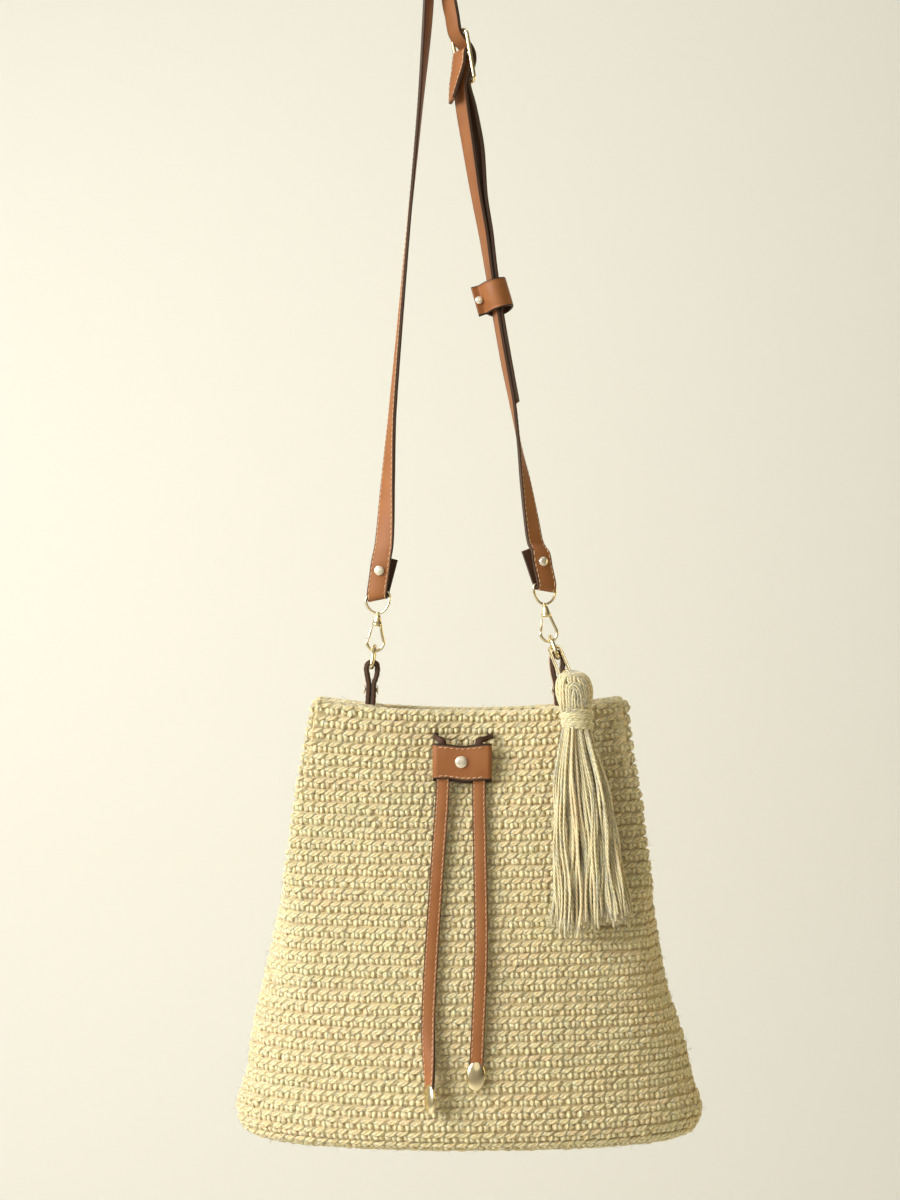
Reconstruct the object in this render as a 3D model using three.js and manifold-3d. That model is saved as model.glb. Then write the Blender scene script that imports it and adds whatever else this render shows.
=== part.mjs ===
// A crocheted jute bag that hangs by its leather shoulder strap.
// Millimetres, +Z up, +X to the right as seen from the front, and the front faces -Y.
// The origin is under the bend of the strap, where a peg or a hand carries the bag.
import * as THREE from 'three';
import { mergeVertices } from 'three/addons/utils/BufferGeometryUtils.js';
import Module from 'manifold-3d';

const wasm = await Module();
wasm.setup();

// Driving dimensions
const GAP = 0.4; // kept between pieces that touch
const BAG = { centreX: 25.5, baseZ: -899.5, height: 327, wall: 6, floor: 7, rimCrown: 1.6, rimDip: 8 };
const ROWS = { count: 36, ridge: 0.9, crest: 0.55 }; // crochet rows, raised as ribs
const AROUND = { points: 36, fine: 216, softening: 5, corner: THREE.MathUtils.degToRad(40) };
const DENT = { x: 19.5, height: 288, spreadX: 34, spreadZ: 62, depth: 7 }; // drawn in at the slider
const STRAP = { width: 15, thickness: 2.2 };
const LACE = { width: 10, thickness: 2.2, clearance: 2 };
const LACE_HOLE = { width: 6.4, height: 13, z: -599, left: -0.5, right: 41, cut: 30, behindY: -11.8 };
const SLIDER = {
  x: 19.5, y: -36.4, z: -616.8, width: 43.4, height: 25.6, leather: 1.8, slot: 12.6, rivetX: 18.6,
};
const LACE_TIP = { halfWidth: 6.85, halfThick: 2.6, halfHeight: 10.8, bite: 7 };
const TAB = { width: 11, thickness: 3.4, bottomZ: -593, spread: 3.4, rivetZ: -566, rimZ: -576 };
const RING = { halfWidth: 8.4, depth: 15.8, wire: 1.6 };
const EYE = { halfWidth: 9.2, depth: 14.4, wire: 1.1 };
const HOOK = { collar: 7, collarRadius: 3.9, neck: 2.4, length: 26.7, halfWidth: 6.2, wire: 1.1, play: 3.5 };
const POST = { radius: 1.2, head: 2.1, headTop: 2.6, headBottom: 4.6 };
const GATE = { x: -3.9, top: -8.7, bottom: -17.8, wire: 0.95 };
const BUCKLE = { x: 20, z: -90, turn: 35, lean: 12, halfWidth: 9.4, top: 17, bottom: -21, wire: 1.3 };
const KEEPER = {
  x: 45.4, z: -270.5, halfX: 9.4, halfY: 12.8, width: 22, leather: 1.6, flap: 7.4, tilt: -16, splay: 0.8,
};
const RIVET = { post: 1.4, head: 4.4, strapHead: 3.6, smallHead: 2.9, dome: 1.7, flatBack: 0.8 };
const TASSEL = {
  topX: 99.4, topZ: -550.5, head: 13.6, band: 11.2, flatten: 0.82, strand: 0.87, rings: 5, unevenEnd: 6,
};
const CLASP = { halfWidth: 4.2, wire: 1.1 };
const TASSEL_RING = { x: 94.6, y: -23.5, topZ: -551.5, radius: 6.6, wire: 0.9 };

// Where the two ends of the strap fold round the bars of the hook eyes
const LEFT = {
  barX: -43.6, barZ: -494.3, turn: 78, slope: 0.2, lean: 0.14, leafLean: 7, tilt: -5, ringX: -48, outward: -1,
};
const RIGHT = {
  barX: 81.5, barZ: -487.5, turn: -65, slope: 0.16, lean: 0.24, leafLean: 10, tilt: 9, ringX: 91, outward: 1,
};

const JUTE = { color: '#d3bf93', roughness: 0.95, metalness: 0 };
const LEATHER = { color: '#a5622f', roughness: 0.55, metalness: 0 };
const GOLD = { color: '#d8c38a', roughness: 0.25, metalness: 1 };

// The body by height: half-widths to the left and right of the centre, half-depth,
// how far the sides fold in, and how boxed the section is (0 oval, 1 flat front and back).
const BODY = table(
  ['height', 'left', 'right', 'depth', 'leftFold', 'rightFold', 'boxed'],
  [
    [0, 156, 156, 42, 0, 0, 0],
    [5, 167.5, 167, 53, 0, 0, 0],
    [14, 173.5, 172.5, 58.5, 0, 0, 0],
    [26, 174.5, 173.5, 60, 0, 0, 0],
    [38, 171, 168.5, 58.5, 0, 0, 0.03],
    [52, 167, 165, 57, 0, 0, 0.06],
    [76, 164, 160, 55, 0, 0, 0.12],
    [112, 156, 148, 52, 1, 1, 0.25],
    [150, 147.5, 141, 49, 8, 9, 0.4],
    [188, 139.5, 135, 45.5, 17, 19, 0.55],
    [220, 134.5, 130.5, 42, 27, 31, 0.7],
    [254, 130, 126.5, 38, 43, 50, 0.82],
    [290, 124, 120.5, 33, 58, 63, 0.93],
    [327, 117.5, 116.5, 28, 53.5, 60, 1],
  ],
);

// Heights of the rings inside the wall, from the rim down
const INSIDE_HEIGHTS = [327, 308, 290, 272, 254, 237, 220, 204, 188, 150, 112, 76, 38, 16];

// Long strap from the left hook to the buckle, then both straps side by side down to the tail's end
const LEFT_LEG = table(
  ['x', 'y', 'z', 'turn'],
  [
    [-38.9, -1, -457, 66],
    [-36, 0, -408.75, 38],
    [-33, 0, -362.25, 18],
    [-27.75, 0, -300, 10],
    [-21, 0, -223.5, 4],
    [-12, 0, -129, -5],
    [-5.6, 0, -48.75, -22],
    [-4.9, 0, -14, -8],
    [-3.7, 0, -3, 0],
    [0, 0, 1.1, 0],
    [3.7, 0, -3, 0],
    [5.2, 0, -14, 10],
    [8.8, 0, -44, 33],
  ],
);
const RIGHT_LEG = table(
  ['x', 'z', 'turn', 'apart'],
  [
    [22.6, -129, 34, 3.3],
    [28, -159, 30, 4],
    [32.8, -197, 22.5, 2.3],
    [37.5, -223.5, 20, 1.9],
    [41.3, -250, 15, 1.6],
    [46.4, -283, 13, 1.4],
    [53.2, -322, 12, 1.4],
    [58.9, -351, 8, 1.4],
  ],
);
const RIGHT_LEG_LOW = table(
  ['x', 'z', 'turn'],
  [
    [62.8, -385, -7],
    [66.75, -408.75, -27],
    [71, -436, -43],
    [74.6, -456, -52],
  ],
);

// The way of each strap through the buckle: across to the right, and up from the middle bar
const LONG_THROUGH_BUCKLE = table(
  ['across', 'up'],
  [[-3.6, 30], [-3.5, 17], [-0.5, 11], [3.8, 5.8], [5.9, 0], [5.1, -6], [0.7, -14], [-3.4, -21]],
);
const SHORT_BELOW_BUCKLE = table(['across', 'up'], [[1.7, -6], [-2.6, -14], [-6.5, -21]]);
const BUCKLE_LEAF = table(['across', 'up', 'turn'], [[-17, -33, 10], [-11.5, -20, 26], [-6, -9, 35]]);

// The lace's tails on the front of the bag, from the slider down
const LEFT_TAIL = table(
  ['x', 'z', 'turn'],
  [
    [5.1, -612, 90],
    [5.2, -634, 90],
    [1.1, -695, 90],
    [-3.2, -758, 90],
    [-5.3, -808, 80],
    [-4.4, -835, 50],
    [-4.1, -851, 30],
  ],
);
const RIGHT_TAIL = table(
  ['x', 'z', 'turn'],
  [
    [32.4, -612, 90],
    [31.6, -634, 90],
    [32.3, -688, 90],
    [32.9, -751, 90],
    [30.6, -808, 90],
    [29.2, -836, 90],
  ],
);

// The tassel's skirt by height: its centre, half-width and half-depth
const SKIRT = table(
  ['z', 'x', 'y', 'halfX', 'halfY'],
  [
    [-589, 102.6, -46.5, 9.2, 7.6],
    [-608, 104, -48, 13, 8.6],
    [-640, 107.5, -51.5, 20.5, 9.6],
    [-690, 111, -57, 26, 10],
    [-737, 113, -61, 28.5, 10],
  ],
);

const bag = new THREE.Group();

function table(columns, rows) {
  return rows.map((row) => Object.fromEntries(columns.map((name, i) => [name, row[i]])));
}

function vec(x, y, z) {
  return new THREE.Vector3(x, y, z);
}

// A row of a table at a value of its first column, on a smooth curve through the rows.
function rowAt(rows, key, value) {
  const up = rows[rows.length - 1][key] > rows[0][key];
  let i = rows.findIndex((row) => (up ? row[key] >= value : row[key] <= value)) - 1;
  i = THREE.MathUtils.clamp(i < -1 ? rows.length - 2 : i, 0, rows.length - 2);
  const [low, high] = [rows[i], rows[i + 1]];
  const before = rows[Math.max(i - 1, 0)];
  const after = rows[Math.min(i + 2, rows.length - 1)];
  const span = high[key] - low[key];
  const t = THREE.MathUtils.clamp((value - low[key]) / span, 0, 1);
  const result = {};
  for (const name of Object.keys(low)) {
    const slopeLow = ((high[name] - before[name]) / (high[key] - before[key])) * span;
    const slopeHigh = ((after[name] - low[name]) / (after[key] - low[key])) * span;
    const a = 2 * low[name] - 2 * high[name] + slopeLow + slopeHigh;
    const b = 3 * high[name] - 3 * low[name] - 2 * slopeLow - slopeHigh;
    result[name] = ((a * t + b) * t + slopeLow) * t + low[name];
  }
  return result;
}

// A closed geometry with its faces pointing out.
function closedGeometry(points, faces) {
  let volume = 0;
  for (const [a, b, c] of faces) {
    volume += points[a].dot(points[b].clone().cross(points[c]));
  }
  const turned = volume < 0 ? faces.map(([a, b, c]) => [a, c, b]) : faces;
  const geometry = new THREE.BufferGeometry().setFromPoints(points);
  geometry.setIndex(turned.flat());
  return geometry;
}

// A section carried along stations, each with a point and two directions across the path.
function sweep(stations, section, closed = false) {
  const points = [];
  for (const { point, side, face } of stations) {
    for (const [s, f] of section) {
      points.push(point.clone().addScaledVector(side, s).addScaledVector(face, f));
    }
  }
  const n = section.length;
  const spans = closed ? stations.length : stations.length - 1;
  const faces = [];
  for (let i = 0; i < spans; i += 1) {
    const low = i * n;
    const high = ((i + 1) % stations.length) * n;
    for (let j = 0; j < n; j += 1) {
      const k = (j + 1) % n;
      faces.push([low + j, low + k, high + k], [low + j, high + k, high + j]);
    }
  }
  if (!closed) {
    const last = (stations.length - 1) * n;
    for (let j = 1; j < n - 1; j += 1) {
      faces.push([0, j + 1, j], [last, last + j, last + j + 1]);
    }
  }
  return closedGeometry(points, faces);
}

function roundSection(radius, sides) {
  return Array.from({ length: sides }, (_, i) => {
    const angle = (2 * Math.PI * (i + 0.5)) / sides;
    return [radius * Math.cos(angle), radius * Math.sin(angle)];
  });
}

function flatSection(width, thickness) {
  const [w, t] = [width / 2, thickness / 2];
  return [[-w, -t], [w, -t], [w, t], [-w, t]];
}

// Stations of a flat strip along rows of a point and the direction of the strip's width.
function stripStations(rows, stepsPerRow) {
  const path = new THREE.CatmullRomCurve3(rows.map((row) => row.point));
  const widths = new THREE.CatmullRomCurve3(rows.map((row) => row.side));
  const steps = (rows.length - 1) * stepsPerRow;
  return Array.from({ length: steps + 1 }, (_, i) => {
    const tangent = path.getTangent(i / steps);
    const side = widths.getPoint(i / steps);
    side.addScaledVector(tangent, -side.dot(tangent)).normalize();
    return { point: path.getPoint(i / steps), side, face: tangent.clone().cross(side), tangent };
  });
}

function strip(rows, width, thickness, stepsPerRow = 3) {
  return sweep(stripStations(rows, stepsPerRow), flatSection(width, thickness));
}

// Stations of a wire that lies in a plane, with the plane's normal as one direction.
function planeStations(points, normal, closed) {
  const last = points.length - 1;
  return points.map((point, i) => {
    const before = points[closed ? (i + last) % points.length : Math.max(i - 1, 0)];
    const after = points[closed ? (i + 1) % points.length : Math.min(i + 1, last)];
    const tangent = after.clone().sub(before).normalize();
    return { point, side: tangent.clone().cross(normal), face: normal };
  });
}

function wire(points, normal, radius, closed, sides = 6) {
  return sweep(planeStations(points, normal, closed), roundSection(radius, sides), closed);
}

// The width of a strap: its near edge is turned this many degrees to the right of straight ahead.
function widthAt(turn) {
  const angle = THREE.MathUtils.degToRad(turn);
  return vec(Math.sin(angle), -Math.cos(angle), 0);
}

function toSolid(geometry) {
  const bare = geometry.clone();
  bare.deleteAttribute('normal');
  bare.deleteAttribute('uv');
  const merged = mergeVertices(bare, 1e-4);
  const vertProperties = new Float32Array(merged.attributes.position.array);
  const triVerts = new Uint32Array(wholeFaces(Array.from(merged.index.array)));
  return new wasm.Manifold(new wasm.Mesh({ numProp: 3, vertProperties, triVerts }));
}

// The faces that keep three different corners once equal points are merged
function wholeFaces(index) {
  const whole = [];
  for (let i = 0; i < index.length; i += 3) {
    const [a, b, c] = index.slice(i, i + 3);
    if (a !== b && b !== c && c !== a) {
      whole.push(a, b, c);
    }
  }
  return whole;
}

function toGeometry(manifold) {
  const mesh = manifold.getMesh();
  const geometry = new THREE.BufferGeometry();
  geometry.setAttribute('position', new THREE.Float32BufferAttribute(mesh.vertProperties, 3));
  geometry.setIndex(Array.from(mesh.triVerts));
  return geometry;
}

function cut(geometry, ...cutters) {
  return toGeometry(cutters.reduce((left, cutter) => left.subtract(toSolid(cutter)), toSolid(geometry)));
}

function join(...geometries) {
  const [first, ...others] = geometries.map(toSolid);
  return toGeometry(others.reduce((all, other) => all.add(other), first));
}

function add(name, geometry, look) {
  const mesh = new THREE.Mesh(geometry, new THREE.MeshStandardMaterial(look));
  mesh.name = name;
  bag.add(mesh);
}

// A matrix that puts local Z along a direction, at a point.
function along(point, direction) {
  const turn = new THREE.Quaternion().setFromUnitVectors(vec(0, 0, 1), direction.clone().normalize());
  return new THREE.Matrix4().compose(point, turn, vec(1, 1, 1));
}

// A rivet with a head at both ends, its middle at the point, over leather of this thickness.
function rivet(point, direction, grip, head = RIVET.head, backDome = RIVET.dome) {
  const under = grip / 2 + GAP;
  const top = under + RIVET.dome;
  const back = under + backDome;
  const bend = head * 0.72;
  const profile = [
    [0, -back], [bend, -back + backDome / 4], [head, -under],
    [RIVET.post, -under], [RIVET.post, under],
    [head, under], [bend, top - 0.45], [0, top],
  ];
  const shape = new THREE.LatheGeometry(profile.map(([r, y]) => new THREE.Vector2(r, y)), 12);
  return shape.rotateX(Math.PI / 2).applyMatrix4(along(point, direction));
}

function rivetHole(point, direction, length = 40) {
  const hole = new THREE.CylinderGeometry(RIVET.post + GAP, RIVET.post + GAP, length, 12);
  return hole.rotateX(Math.PI / 2).applyMatrix4(along(point, direction));
}

// Crocheted body

// Where a point of the section stands, on a flat front and back with sides that fold in.
function boxedPoint(angle, leftFold, rightFold) {
  const x = Math.cos(angle);
  const fromSide = Math.atan2(Math.abs(Math.sin(angle)), Math.abs(x));
  const back = Math.sign(Math.sin(angle));
  const right = Math.sign(x);
  const edge = 0.86; // the front and back bow out a little from their edges
  if (fromSide < AROUND.corner) {
    const q = fromSide / AROUND.corner;
    const fold = right > 0 ? rightFold : leftFold;
    const inward = fold * (1 - THREE.MathUtils.smoothstep(q, 0.3, 1));
    return new THREE.Vector2(right * (1 - inward), back * q * edge);
  }
  const across = (Math.PI / 2 - fromSide) / (Math.PI / 2 - AROUND.corner);
  return new THREE.Vector2(right * across, back * (edge + (1 - edge) * (1 - across * across)));
}

function softened(points) {
  const n = points.length;
  return points.map((_, i) => {
    const sum = new THREE.Vector2();
    for (let j = -AROUND.softening; j <= AROUND.softening; j += 1) {
      sum.add(points[(i + j + n) % n]);
    }
    return sum.divideScalar(2 * AROUND.softening + 1);
  });
}

// The outline of the body at a height, as points about its centre line.
function bodySection(height) {
  const row = rowAt(BODY, 'height', height);
  const raw = Array.from({ length: AROUND.fine }, (_, i) => {
    const angle = (2 * Math.PI * i) / AROUND.fine;
    const oval = new THREE.Vector2(Math.cos(angle), Math.sin(angle));
    return oval.lerp(boxedPoint(angle, row.leftFold / row.left, row.rightFold / row.right), row.boxed);
  });
  const soft = softened(raw);
  const rightmost = Math.max(...soft.map((p) => p.x));
  const leftmost = Math.min(...soft.map((p) => p.x));
  const deepest = Math.max(...soft.map((p) => p.y));
  return soft.map((p) => {
    const x = p.x > 0 ? (p.x / rightmost) * row.right : (p.x / leftmost) * -row.left;
    const y = (p.y / deepest) * row.depth;
    return new THREE.Vector2(x, y + (y < 0 ? dentAt(x + BAG.centreX, height) : 0));
  });
}

function dentAt(x, height) {
  const across = (x - DENT.x) / DENT.spreadX;
  const up = (height - DENT.height) / DENT.spreadZ;
  return DENT.depth * Math.exp(-across * across - up * up);
}

// One ring of the body, set out from the outline by an offset. The rim dips between its corners.
function bodyRing(height, offset, lift = 0) {
  const section = bodySection(height);
  const row = rowAt(BODY, 'height', height);
  const step = AROUND.fine / AROUND.points;
  return Array.from({ length: AROUND.points }, (_, i) => {
    const at = i * step;
    const here = section[at];
    const before = section[(at + AROUND.fine - 2) % AROUND.fine];
    const after = section[(at + 2) % AROUND.fine];
    const out = new THREE.Vector2(after.y - before.y, before.x - after.x).normalize();
    const place = here.clone().addScaledVector(out, offset);
    const across = here.x / (here.x > 0 ? row.right : row.left);
    const rise = Math.max(height, 0) / BAG.height;
    const dip = BAG.rimDip * (1 - across * across) * rise ** 3;
    return vec(BAG.centreX + place.x, place.y, BAG.baseZ + height - dip + lift);
  });
}

function bodyGeometry() {
  const rings = [bodyRing(0, 0)];
  const pitch = BAG.height / ROWS.count;
  for (let row = 0; row < ROWS.count; row += 1) {
    rings.push(bodyRing((row + ROWS.crest) * pitch, row === 0 ? 0 : ROWS.ridge));
    rings.push(bodyRing((row + 1) * pitch, row < 2 ? 0 : -ROWS.ridge * 0.6));
  }
  rings.push(bodyRing(BAG.height, -BAG.wall / 2, BAG.rimCrown));
  INSIDE_HEIGHTS.forEach((height) => rings.push(bodyRing(height, -BAG.wall)));
  const floor = bodyRing(BAG.floor, -1.5 * BAG.wall);
  rings.push(floor);
  const n = AROUND.points;
  const points = rings.flat();
  const faces = [];
  for (let i = 0; i < rings.length - 1; i += 1) {
    for (let j = 0; j < n; j += 1) {
      const k = (j + 1) % n;
      const [low, high] = [i * n, (i + 1) * n];
      faces.push([low + j, low + k, high + k], [low + j, high + k, high + j]);
    }
  }
  const lastRing = (rings.length - 1) * n;
  const under = points.push(vec(BAG.centreX, 0, BAG.baseZ)) - 1;
  const top = points.push(vec(BAG.centreX, 0, floor[0].z)) - 1;
  for (let j = 0; j < n; j += 1) {
    const k = (j + 1) % n;
    faces.push([under, k, j], [top, lastRing + j, lastRing + k]);
  }
  return closedGeometry(points, faces);
}

function laceHole(x) {
  const hole = new THREE.BoxGeometry(LACE_HOLE.width, LACE_HOLE.cut, LACE_HOLE.height);
  return hole.translate(x, -LACE_HOLE.cut, LACE_HOLE.z);
}

add('bag_body', cut(bodyGeometry(), laceHole(LACE_HOLE.left), laceHole(LACE_HOLE.right)), JUTE);

// Depth of the front of the body at a place
function frontY(x, z) {
  const section = bodySection(z - BAG.baseZ);
  const front = section.filter((p) => p.y < -8).sort((p, q) => p.x - q.x);
  const at = front.findIndex((p) => p.x >= x - BAG.centreX);
  const [low, high] = [front[at - 1], front[at]];
  return THREE.MathUtils.lerp(low.y, high.y, (x - BAG.centreX - low.x) / (high.x - low.x));
}

// Drawstring lace with its metal tips

function tailRows(tail) {
  return tail.map(({ x, z, turn }) => {
    const side = widthAt(turn);
    const reach = Math.abs(side.y) * LACE_TIP.halfWidth + (Math.abs(side.x) * LACE.thickness) / 2;
    const lying = frontY(x, z) - ROWS.ridge - LACE.clearance - reach;
    const inSlider = z > SLIDER.z - SLIDER.height;
    return { point: vec(x, inSlider ? SLIDER.y : lying, z), side };
  });
}

// From the slider's top through a hole, and behind the wall to the middle between the holes.
// Above the slider the lace twists, so that its width stands upright in the hole and behind the wall.
function holeRows(topX, holeX) {
  const middle = (LACE_HOLE.left + LACE_HOLE.right) / 2;
  const inward = Math.sign(middle - holeX);
  const steps = table(
    ['x', 'y', 'up', 'level', 'ahead', 'upright'],
    [
      [topX, SLIDER.y, -7.5, 1, 0, 0],
      [topX, SLIDER.y, -2.8, 1, 0, 0],
      [(topX + holeX) / 2, SLIDER.y + 1.8, 1.4, 0.75, 0.45, 0.5],
      [holeX, -30.4, 1.2, 0.25, 0.2, 0.95],
      [holeX, -25, 0.4, 0, 0, 1],
      [holeX + inward * 0.5, LACE_HOLE.behindY - 4, 0, 0, 0, 1],
      [holeX + inward * 6, LACE_HOLE.behindY - 0.8, 0, 0, 0, 1],
      [middle - inward * 5, LACE_HOLE.behindY, 0, 0, 0, 1],
    ],
  );
  return steps.map(({ x, y, up, level, ahead, upright }) => ({
    point: vec(x, y, LACE_HOLE.z + up),
    side: vec(level, -inward * ahead, inward * upright),
  }));
}

function turnedOver(rows) {
  return rows.map(({ point, side }) => ({ point, side: side.clone().negate() }));
}

const leftTail = tailRows(LEFT_TAIL);
const rightTail = tailRows(RIGHT_TAIL);
const laceRows = [
  ...leftTail.reverse(),
  ...holeRows(4.6, LACE_HOLE.left),
  ...turnedOver(holeRows(32, LACE_HOLE.right).reverse()),
  ...turnedOver(rightTail),
];
const laceStations = stripStations(laceRows, 3);
add('drawstring_lace', sweep(laceStations, flatSection(LACE.width, LACE.thickness)), LEATHER);

// An oval tip of two plates that hold the end of the lace between them
function laceTip(station, down) {
  const oval = new THREE.SphereGeometry(1, 14, 10).rotateX(Math.PI / 2);
  oval.scale(LACE_TIP.halfWidth, LACE_TIP.halfThick, LACE_TIP.halfHeight);
  const pocket = new THREE.BoxGeometry(LACE.width + 1, LACE.thickness + 2.5 * GAP, 2 * LACE_TIP.bite);
  pocket.translate(0, 0, LACE_TIP.halfHeight);
  const drop = down.clone().multiplyScalar(LACE_TIP.halfHeight - LACE_TIP.bite + GAP);
  const up = down.clone().negate();
  const axes = new THREE.Matrix4().makeBasis(station.side, up.clone().cross(station.side), up);
  return cut(oval, pocket).applyMatrix4(axes).translate(...station.point.clone().add(drop).toArray());
}

const leftEnd = laceStations[0];
const rightEnd = laceStations[laceStations.length - 1];
add('lace_left_tip', laceTip(leftEnd, leftEnd.tangent.clone().negate()), GOLD);
add('lace_right_tip', laceTip(rightEnd, rightEnd.tangent), GOLD);

// Slider: a band round both laces, pinched between them by its rivet
function sliderGeometry() {
  const slotDepth = LACE.thickness + 3 * GAP;
  const round = slotDepth / 2 + SLIDER.leather;
  const half = SLIDER.width / 2 - round;
  const section = [];
  for (const [x, start] of [[half, -90], [-half, 90]]) {
    for (let angle = start; angle <= start + 180; angle += 30) {
      const turn = THREE.MathUtils.degToRad(angle);
      section.push([x + round * Math.cos(turn), round * Math.sin(turn)]);
    }
  }
  const ends = [-SLIDER.height / 2, SLIDER.height / 2].map((up) => ({
    point: vec(SLIDER.x, SLIDER.y, SLIDER.z + up),
    side: vec(1, 0, 0),
    face: vec(0, 1, 0),
  }));
  const slots = [LEFT_TAIL, RIGHT_TAIL].map((tail) => {
    const slot = new THREE.BoxGeometry(SLIDER.slot, slotDepth, 2 * SLIDER.height);
    return slot.translate((tail[0].x + tail[1].x) / 2, SLIDER.y, SLIDER.z);
  });
  return cut(sweep(ends, section), ...slots);
}

const sliderMiddle = vec(SLIDER.rivetX, SLIDER.y, SLIDER.z);
const sliderGrip = LACE.thickness + 3 * GAP + 2 * SLIDER.leather;
const toFront = vec(0, -1, 0);
add('slider_band', cut(sliderGeometry(), rivetHole(sliderMiddle, toFront)), LEATHER);
add('slider_rivet', rivet(sliderMiddle, toFront, sliderGrip), GOLD);

// Shoulder strap

// Axes of the fold at an end of the strap: along the bar, and towards the front.
function foldAxes(end) {
  const angle = THREE.MathUtils.degToRad(end.turn);
  const across = vec(Math.cos(angle), Math.sin(angle), 0);
  return { bar: widthAt(end.turn), front: across.y < 0 ? across : across.negate() };
}

function foldPoint(end, alongBar, out, up) {
  const { bar, front } = foldAxes(end);
  const middle = vec(end.barX, 0, end.barZ + up + end.slope * alongBar);
  return middle.addScaledVector(bar, alongBar).addScaledVector(front, out);
}

const FOLD = { radius: EYE.wire + 3 * GAP + STRAP.thickness / 2, leaf: 26, front: 24, rivet: 17 };

// The folded end: the leaf at the back, round the bar, and up the front.
function foldRows(end) {
  const side = widthAt(end.turn).setZ(end.slope);
  const points = [
    foldPoint(end, end.leafLean, -FOLD.radius - 1, FOLD.leaf),
    foldPoint(end, end.leafLean * 0.5, -FOLD.radius - 0.2, FOLD.leaf / 2),
  ];
  for (let angle = 0; angle <= 180; angle += 36) {
    const turn = THREE.MathUtils.degToRad(angle);
    points.push(foldPoint(end, 0, -FOLD.radius * Math.cos(turn), -FOLD.radius * Math.sin(turn)));
  }
  points.push(foldPoint(end, (end.lean * FOLD.front) / 2, FOLD.radius, FOLD.front / 2));
  points.push(foldPoint(end, end.lean * FOLD.front, FOLD.radius, FOLD.front));
  return points.map((point) => ({ point, side }));
}

function legRows(rows) {
  return rows.map(({ x, y = 0, z, turn }) => ({ point: vec(x, y, z), side: widthAt(turn) }));
}

// The doubled stretch: each strap lies beside the middle line, and they part towards the buckle.
function besideRows(rows, way) {
  return rows.map(({ x, z, turn, apart }) => {
    const angle = THREE.MathUtils.degToRad(turn);
    const away = vec(Math.cos(angle), Math.sin(angle), 0);
    return { point: vec(x, 0, z).addScaledVector(away, way * apart), side: widthAt(turn) };
  });
}

const buckleTurn = THREE.MathUtils.degToRad(BUCKLE.turn);
const buckleLean = THREE.MathUtils.degToRad(BUCKLE.lean);
const buckleBar = widthAt(BUCKLE.turn);
const level = vec(Math.cos(buckleTurn), Math.sin(buckleTurn), 0);
const buckleAcross = level.clone().multiplyScalar(Math.cos(buckleLean)).setZ(Math.sin(buckleLean));
const buckleUp = level.clone().multiplyScalar(-Math.sin(buckleLean)).setZ(Math.cos(buckleLean));

function bucklePoint(across, up, alongBar = 0) {
  const middle = vec(BUCKLE.x, 0, BUCKLE.z).addScaledVector(buckleBar, alongBar);
  return middle.addScaledVector(buckleAcross, across).addScaledVector(buckleUp, up);
}

function buckleRows(rows) {
  return rows.map(({ across, up, turn = BUCKLE.turn }) => {
    return { point: bucklePoint(across, up), side: widthAt(turn) };
  });
}

function buckleFoldRows() {
  const radius = BUCKLE.wire + GAP + STRAP.thickness / 2;
  return [180, 135, 90, 45, 0].map((angle) => {
    const turn = THREE.MathUtils.degToRad(angle);
    return { point: bucklePoint(radius * Math.cos(turn), radius * Math.sin(turn)), side: buckleBar };
  });
}

const longRows = [
  ...foldRows(LEFT),
  ...legRows(LEFT_LEG),
  ...buckleRows(LONG_THROUGH_BUCKLE),
  ...besideRows(RIGHT_LEG, 1),
];
const shortRows = [
  ...buckleRows(BUCKLE_LEAF),
  ...buckleFoldRows(),
  ...buckleRows(SHORT_BELOW_BUCKLE),
  ...besideRows(RIGHT_LEG, -1),
  ...legRows(RIGHT_LEG_LOW),
  ...foldRows(RIGHT).reverse(),
];

function strapRivet(end) {
  return { point: foldPoint(end, end.lean * FOLD.rivet, 0, FOLD.rivet), direction: foldAxes(end).front };
}

function strapGeometry(rows, end) {
  const { point, direction } = strapRivet(end);
  return cut(strip(rows, STRAP.width, STRAP.thickness), rivetHole(point, direction));
}

const strapGrip = 2 * FOLD.radius + STRAP.thickness + 1.4;
add('long_strap', strapGeometry(longRows, LEFT), LEATHER);
add('short_strap', strapGeometry(shortRows, RIGHT), LEATHER);
for (const [name, end] of [['left_strap_rivet', LEFT], ['right_strap_rivet', RIGHT]]) {
  const { point, direction } = strapRivet(end);
  add(name, rivet(point, direction, strapGrip, RIVET.strapHead), GOLD);
}

// Buckle: a long frame with a bar across its middle
function buckleGeometry() {
  const corner = 4;
  const steps = 4;
  const corners = [
    [BUCKLE.halfWidth - corner, BUCKLE.top - corner, 0],
    [-BUCKLE.halfWidth + corner, BUCKLE.top - corner, 90],
    [-BUCKLE.halfWidth + corner, BUCKLE.bottom + corner, 180],
    [BUCKLE.halfWidth - corner, BUCKLE.bottom + corner, 270],
  ];
  const loop = [];
  for (const [side, up, start] of corners) {
    for (let i = 0; i <= steps; i += 1) {
      const angle = THREE.MathUtils.degToRad(start + (90 * i) / steps);
      loop.push(bucklePoint(0, up + corner * Math.sin(angle), side + corner * Math.cos(angle)));
    }
  }
  const bar = [bucklePoint(0, 0, -BUCKLE.halfWidth), bucklePoint(0, 0, BUCKLE.halfWidth)];
  const frame = wire(loop, buckleAcross, BUCKLE.wire, true);
  return join(frame, wire(bar, buckleAcross, BUCKLE.wire * 0.98, false));
}

add('buckle_frame', buckleGeometry(), GOLD);

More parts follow.
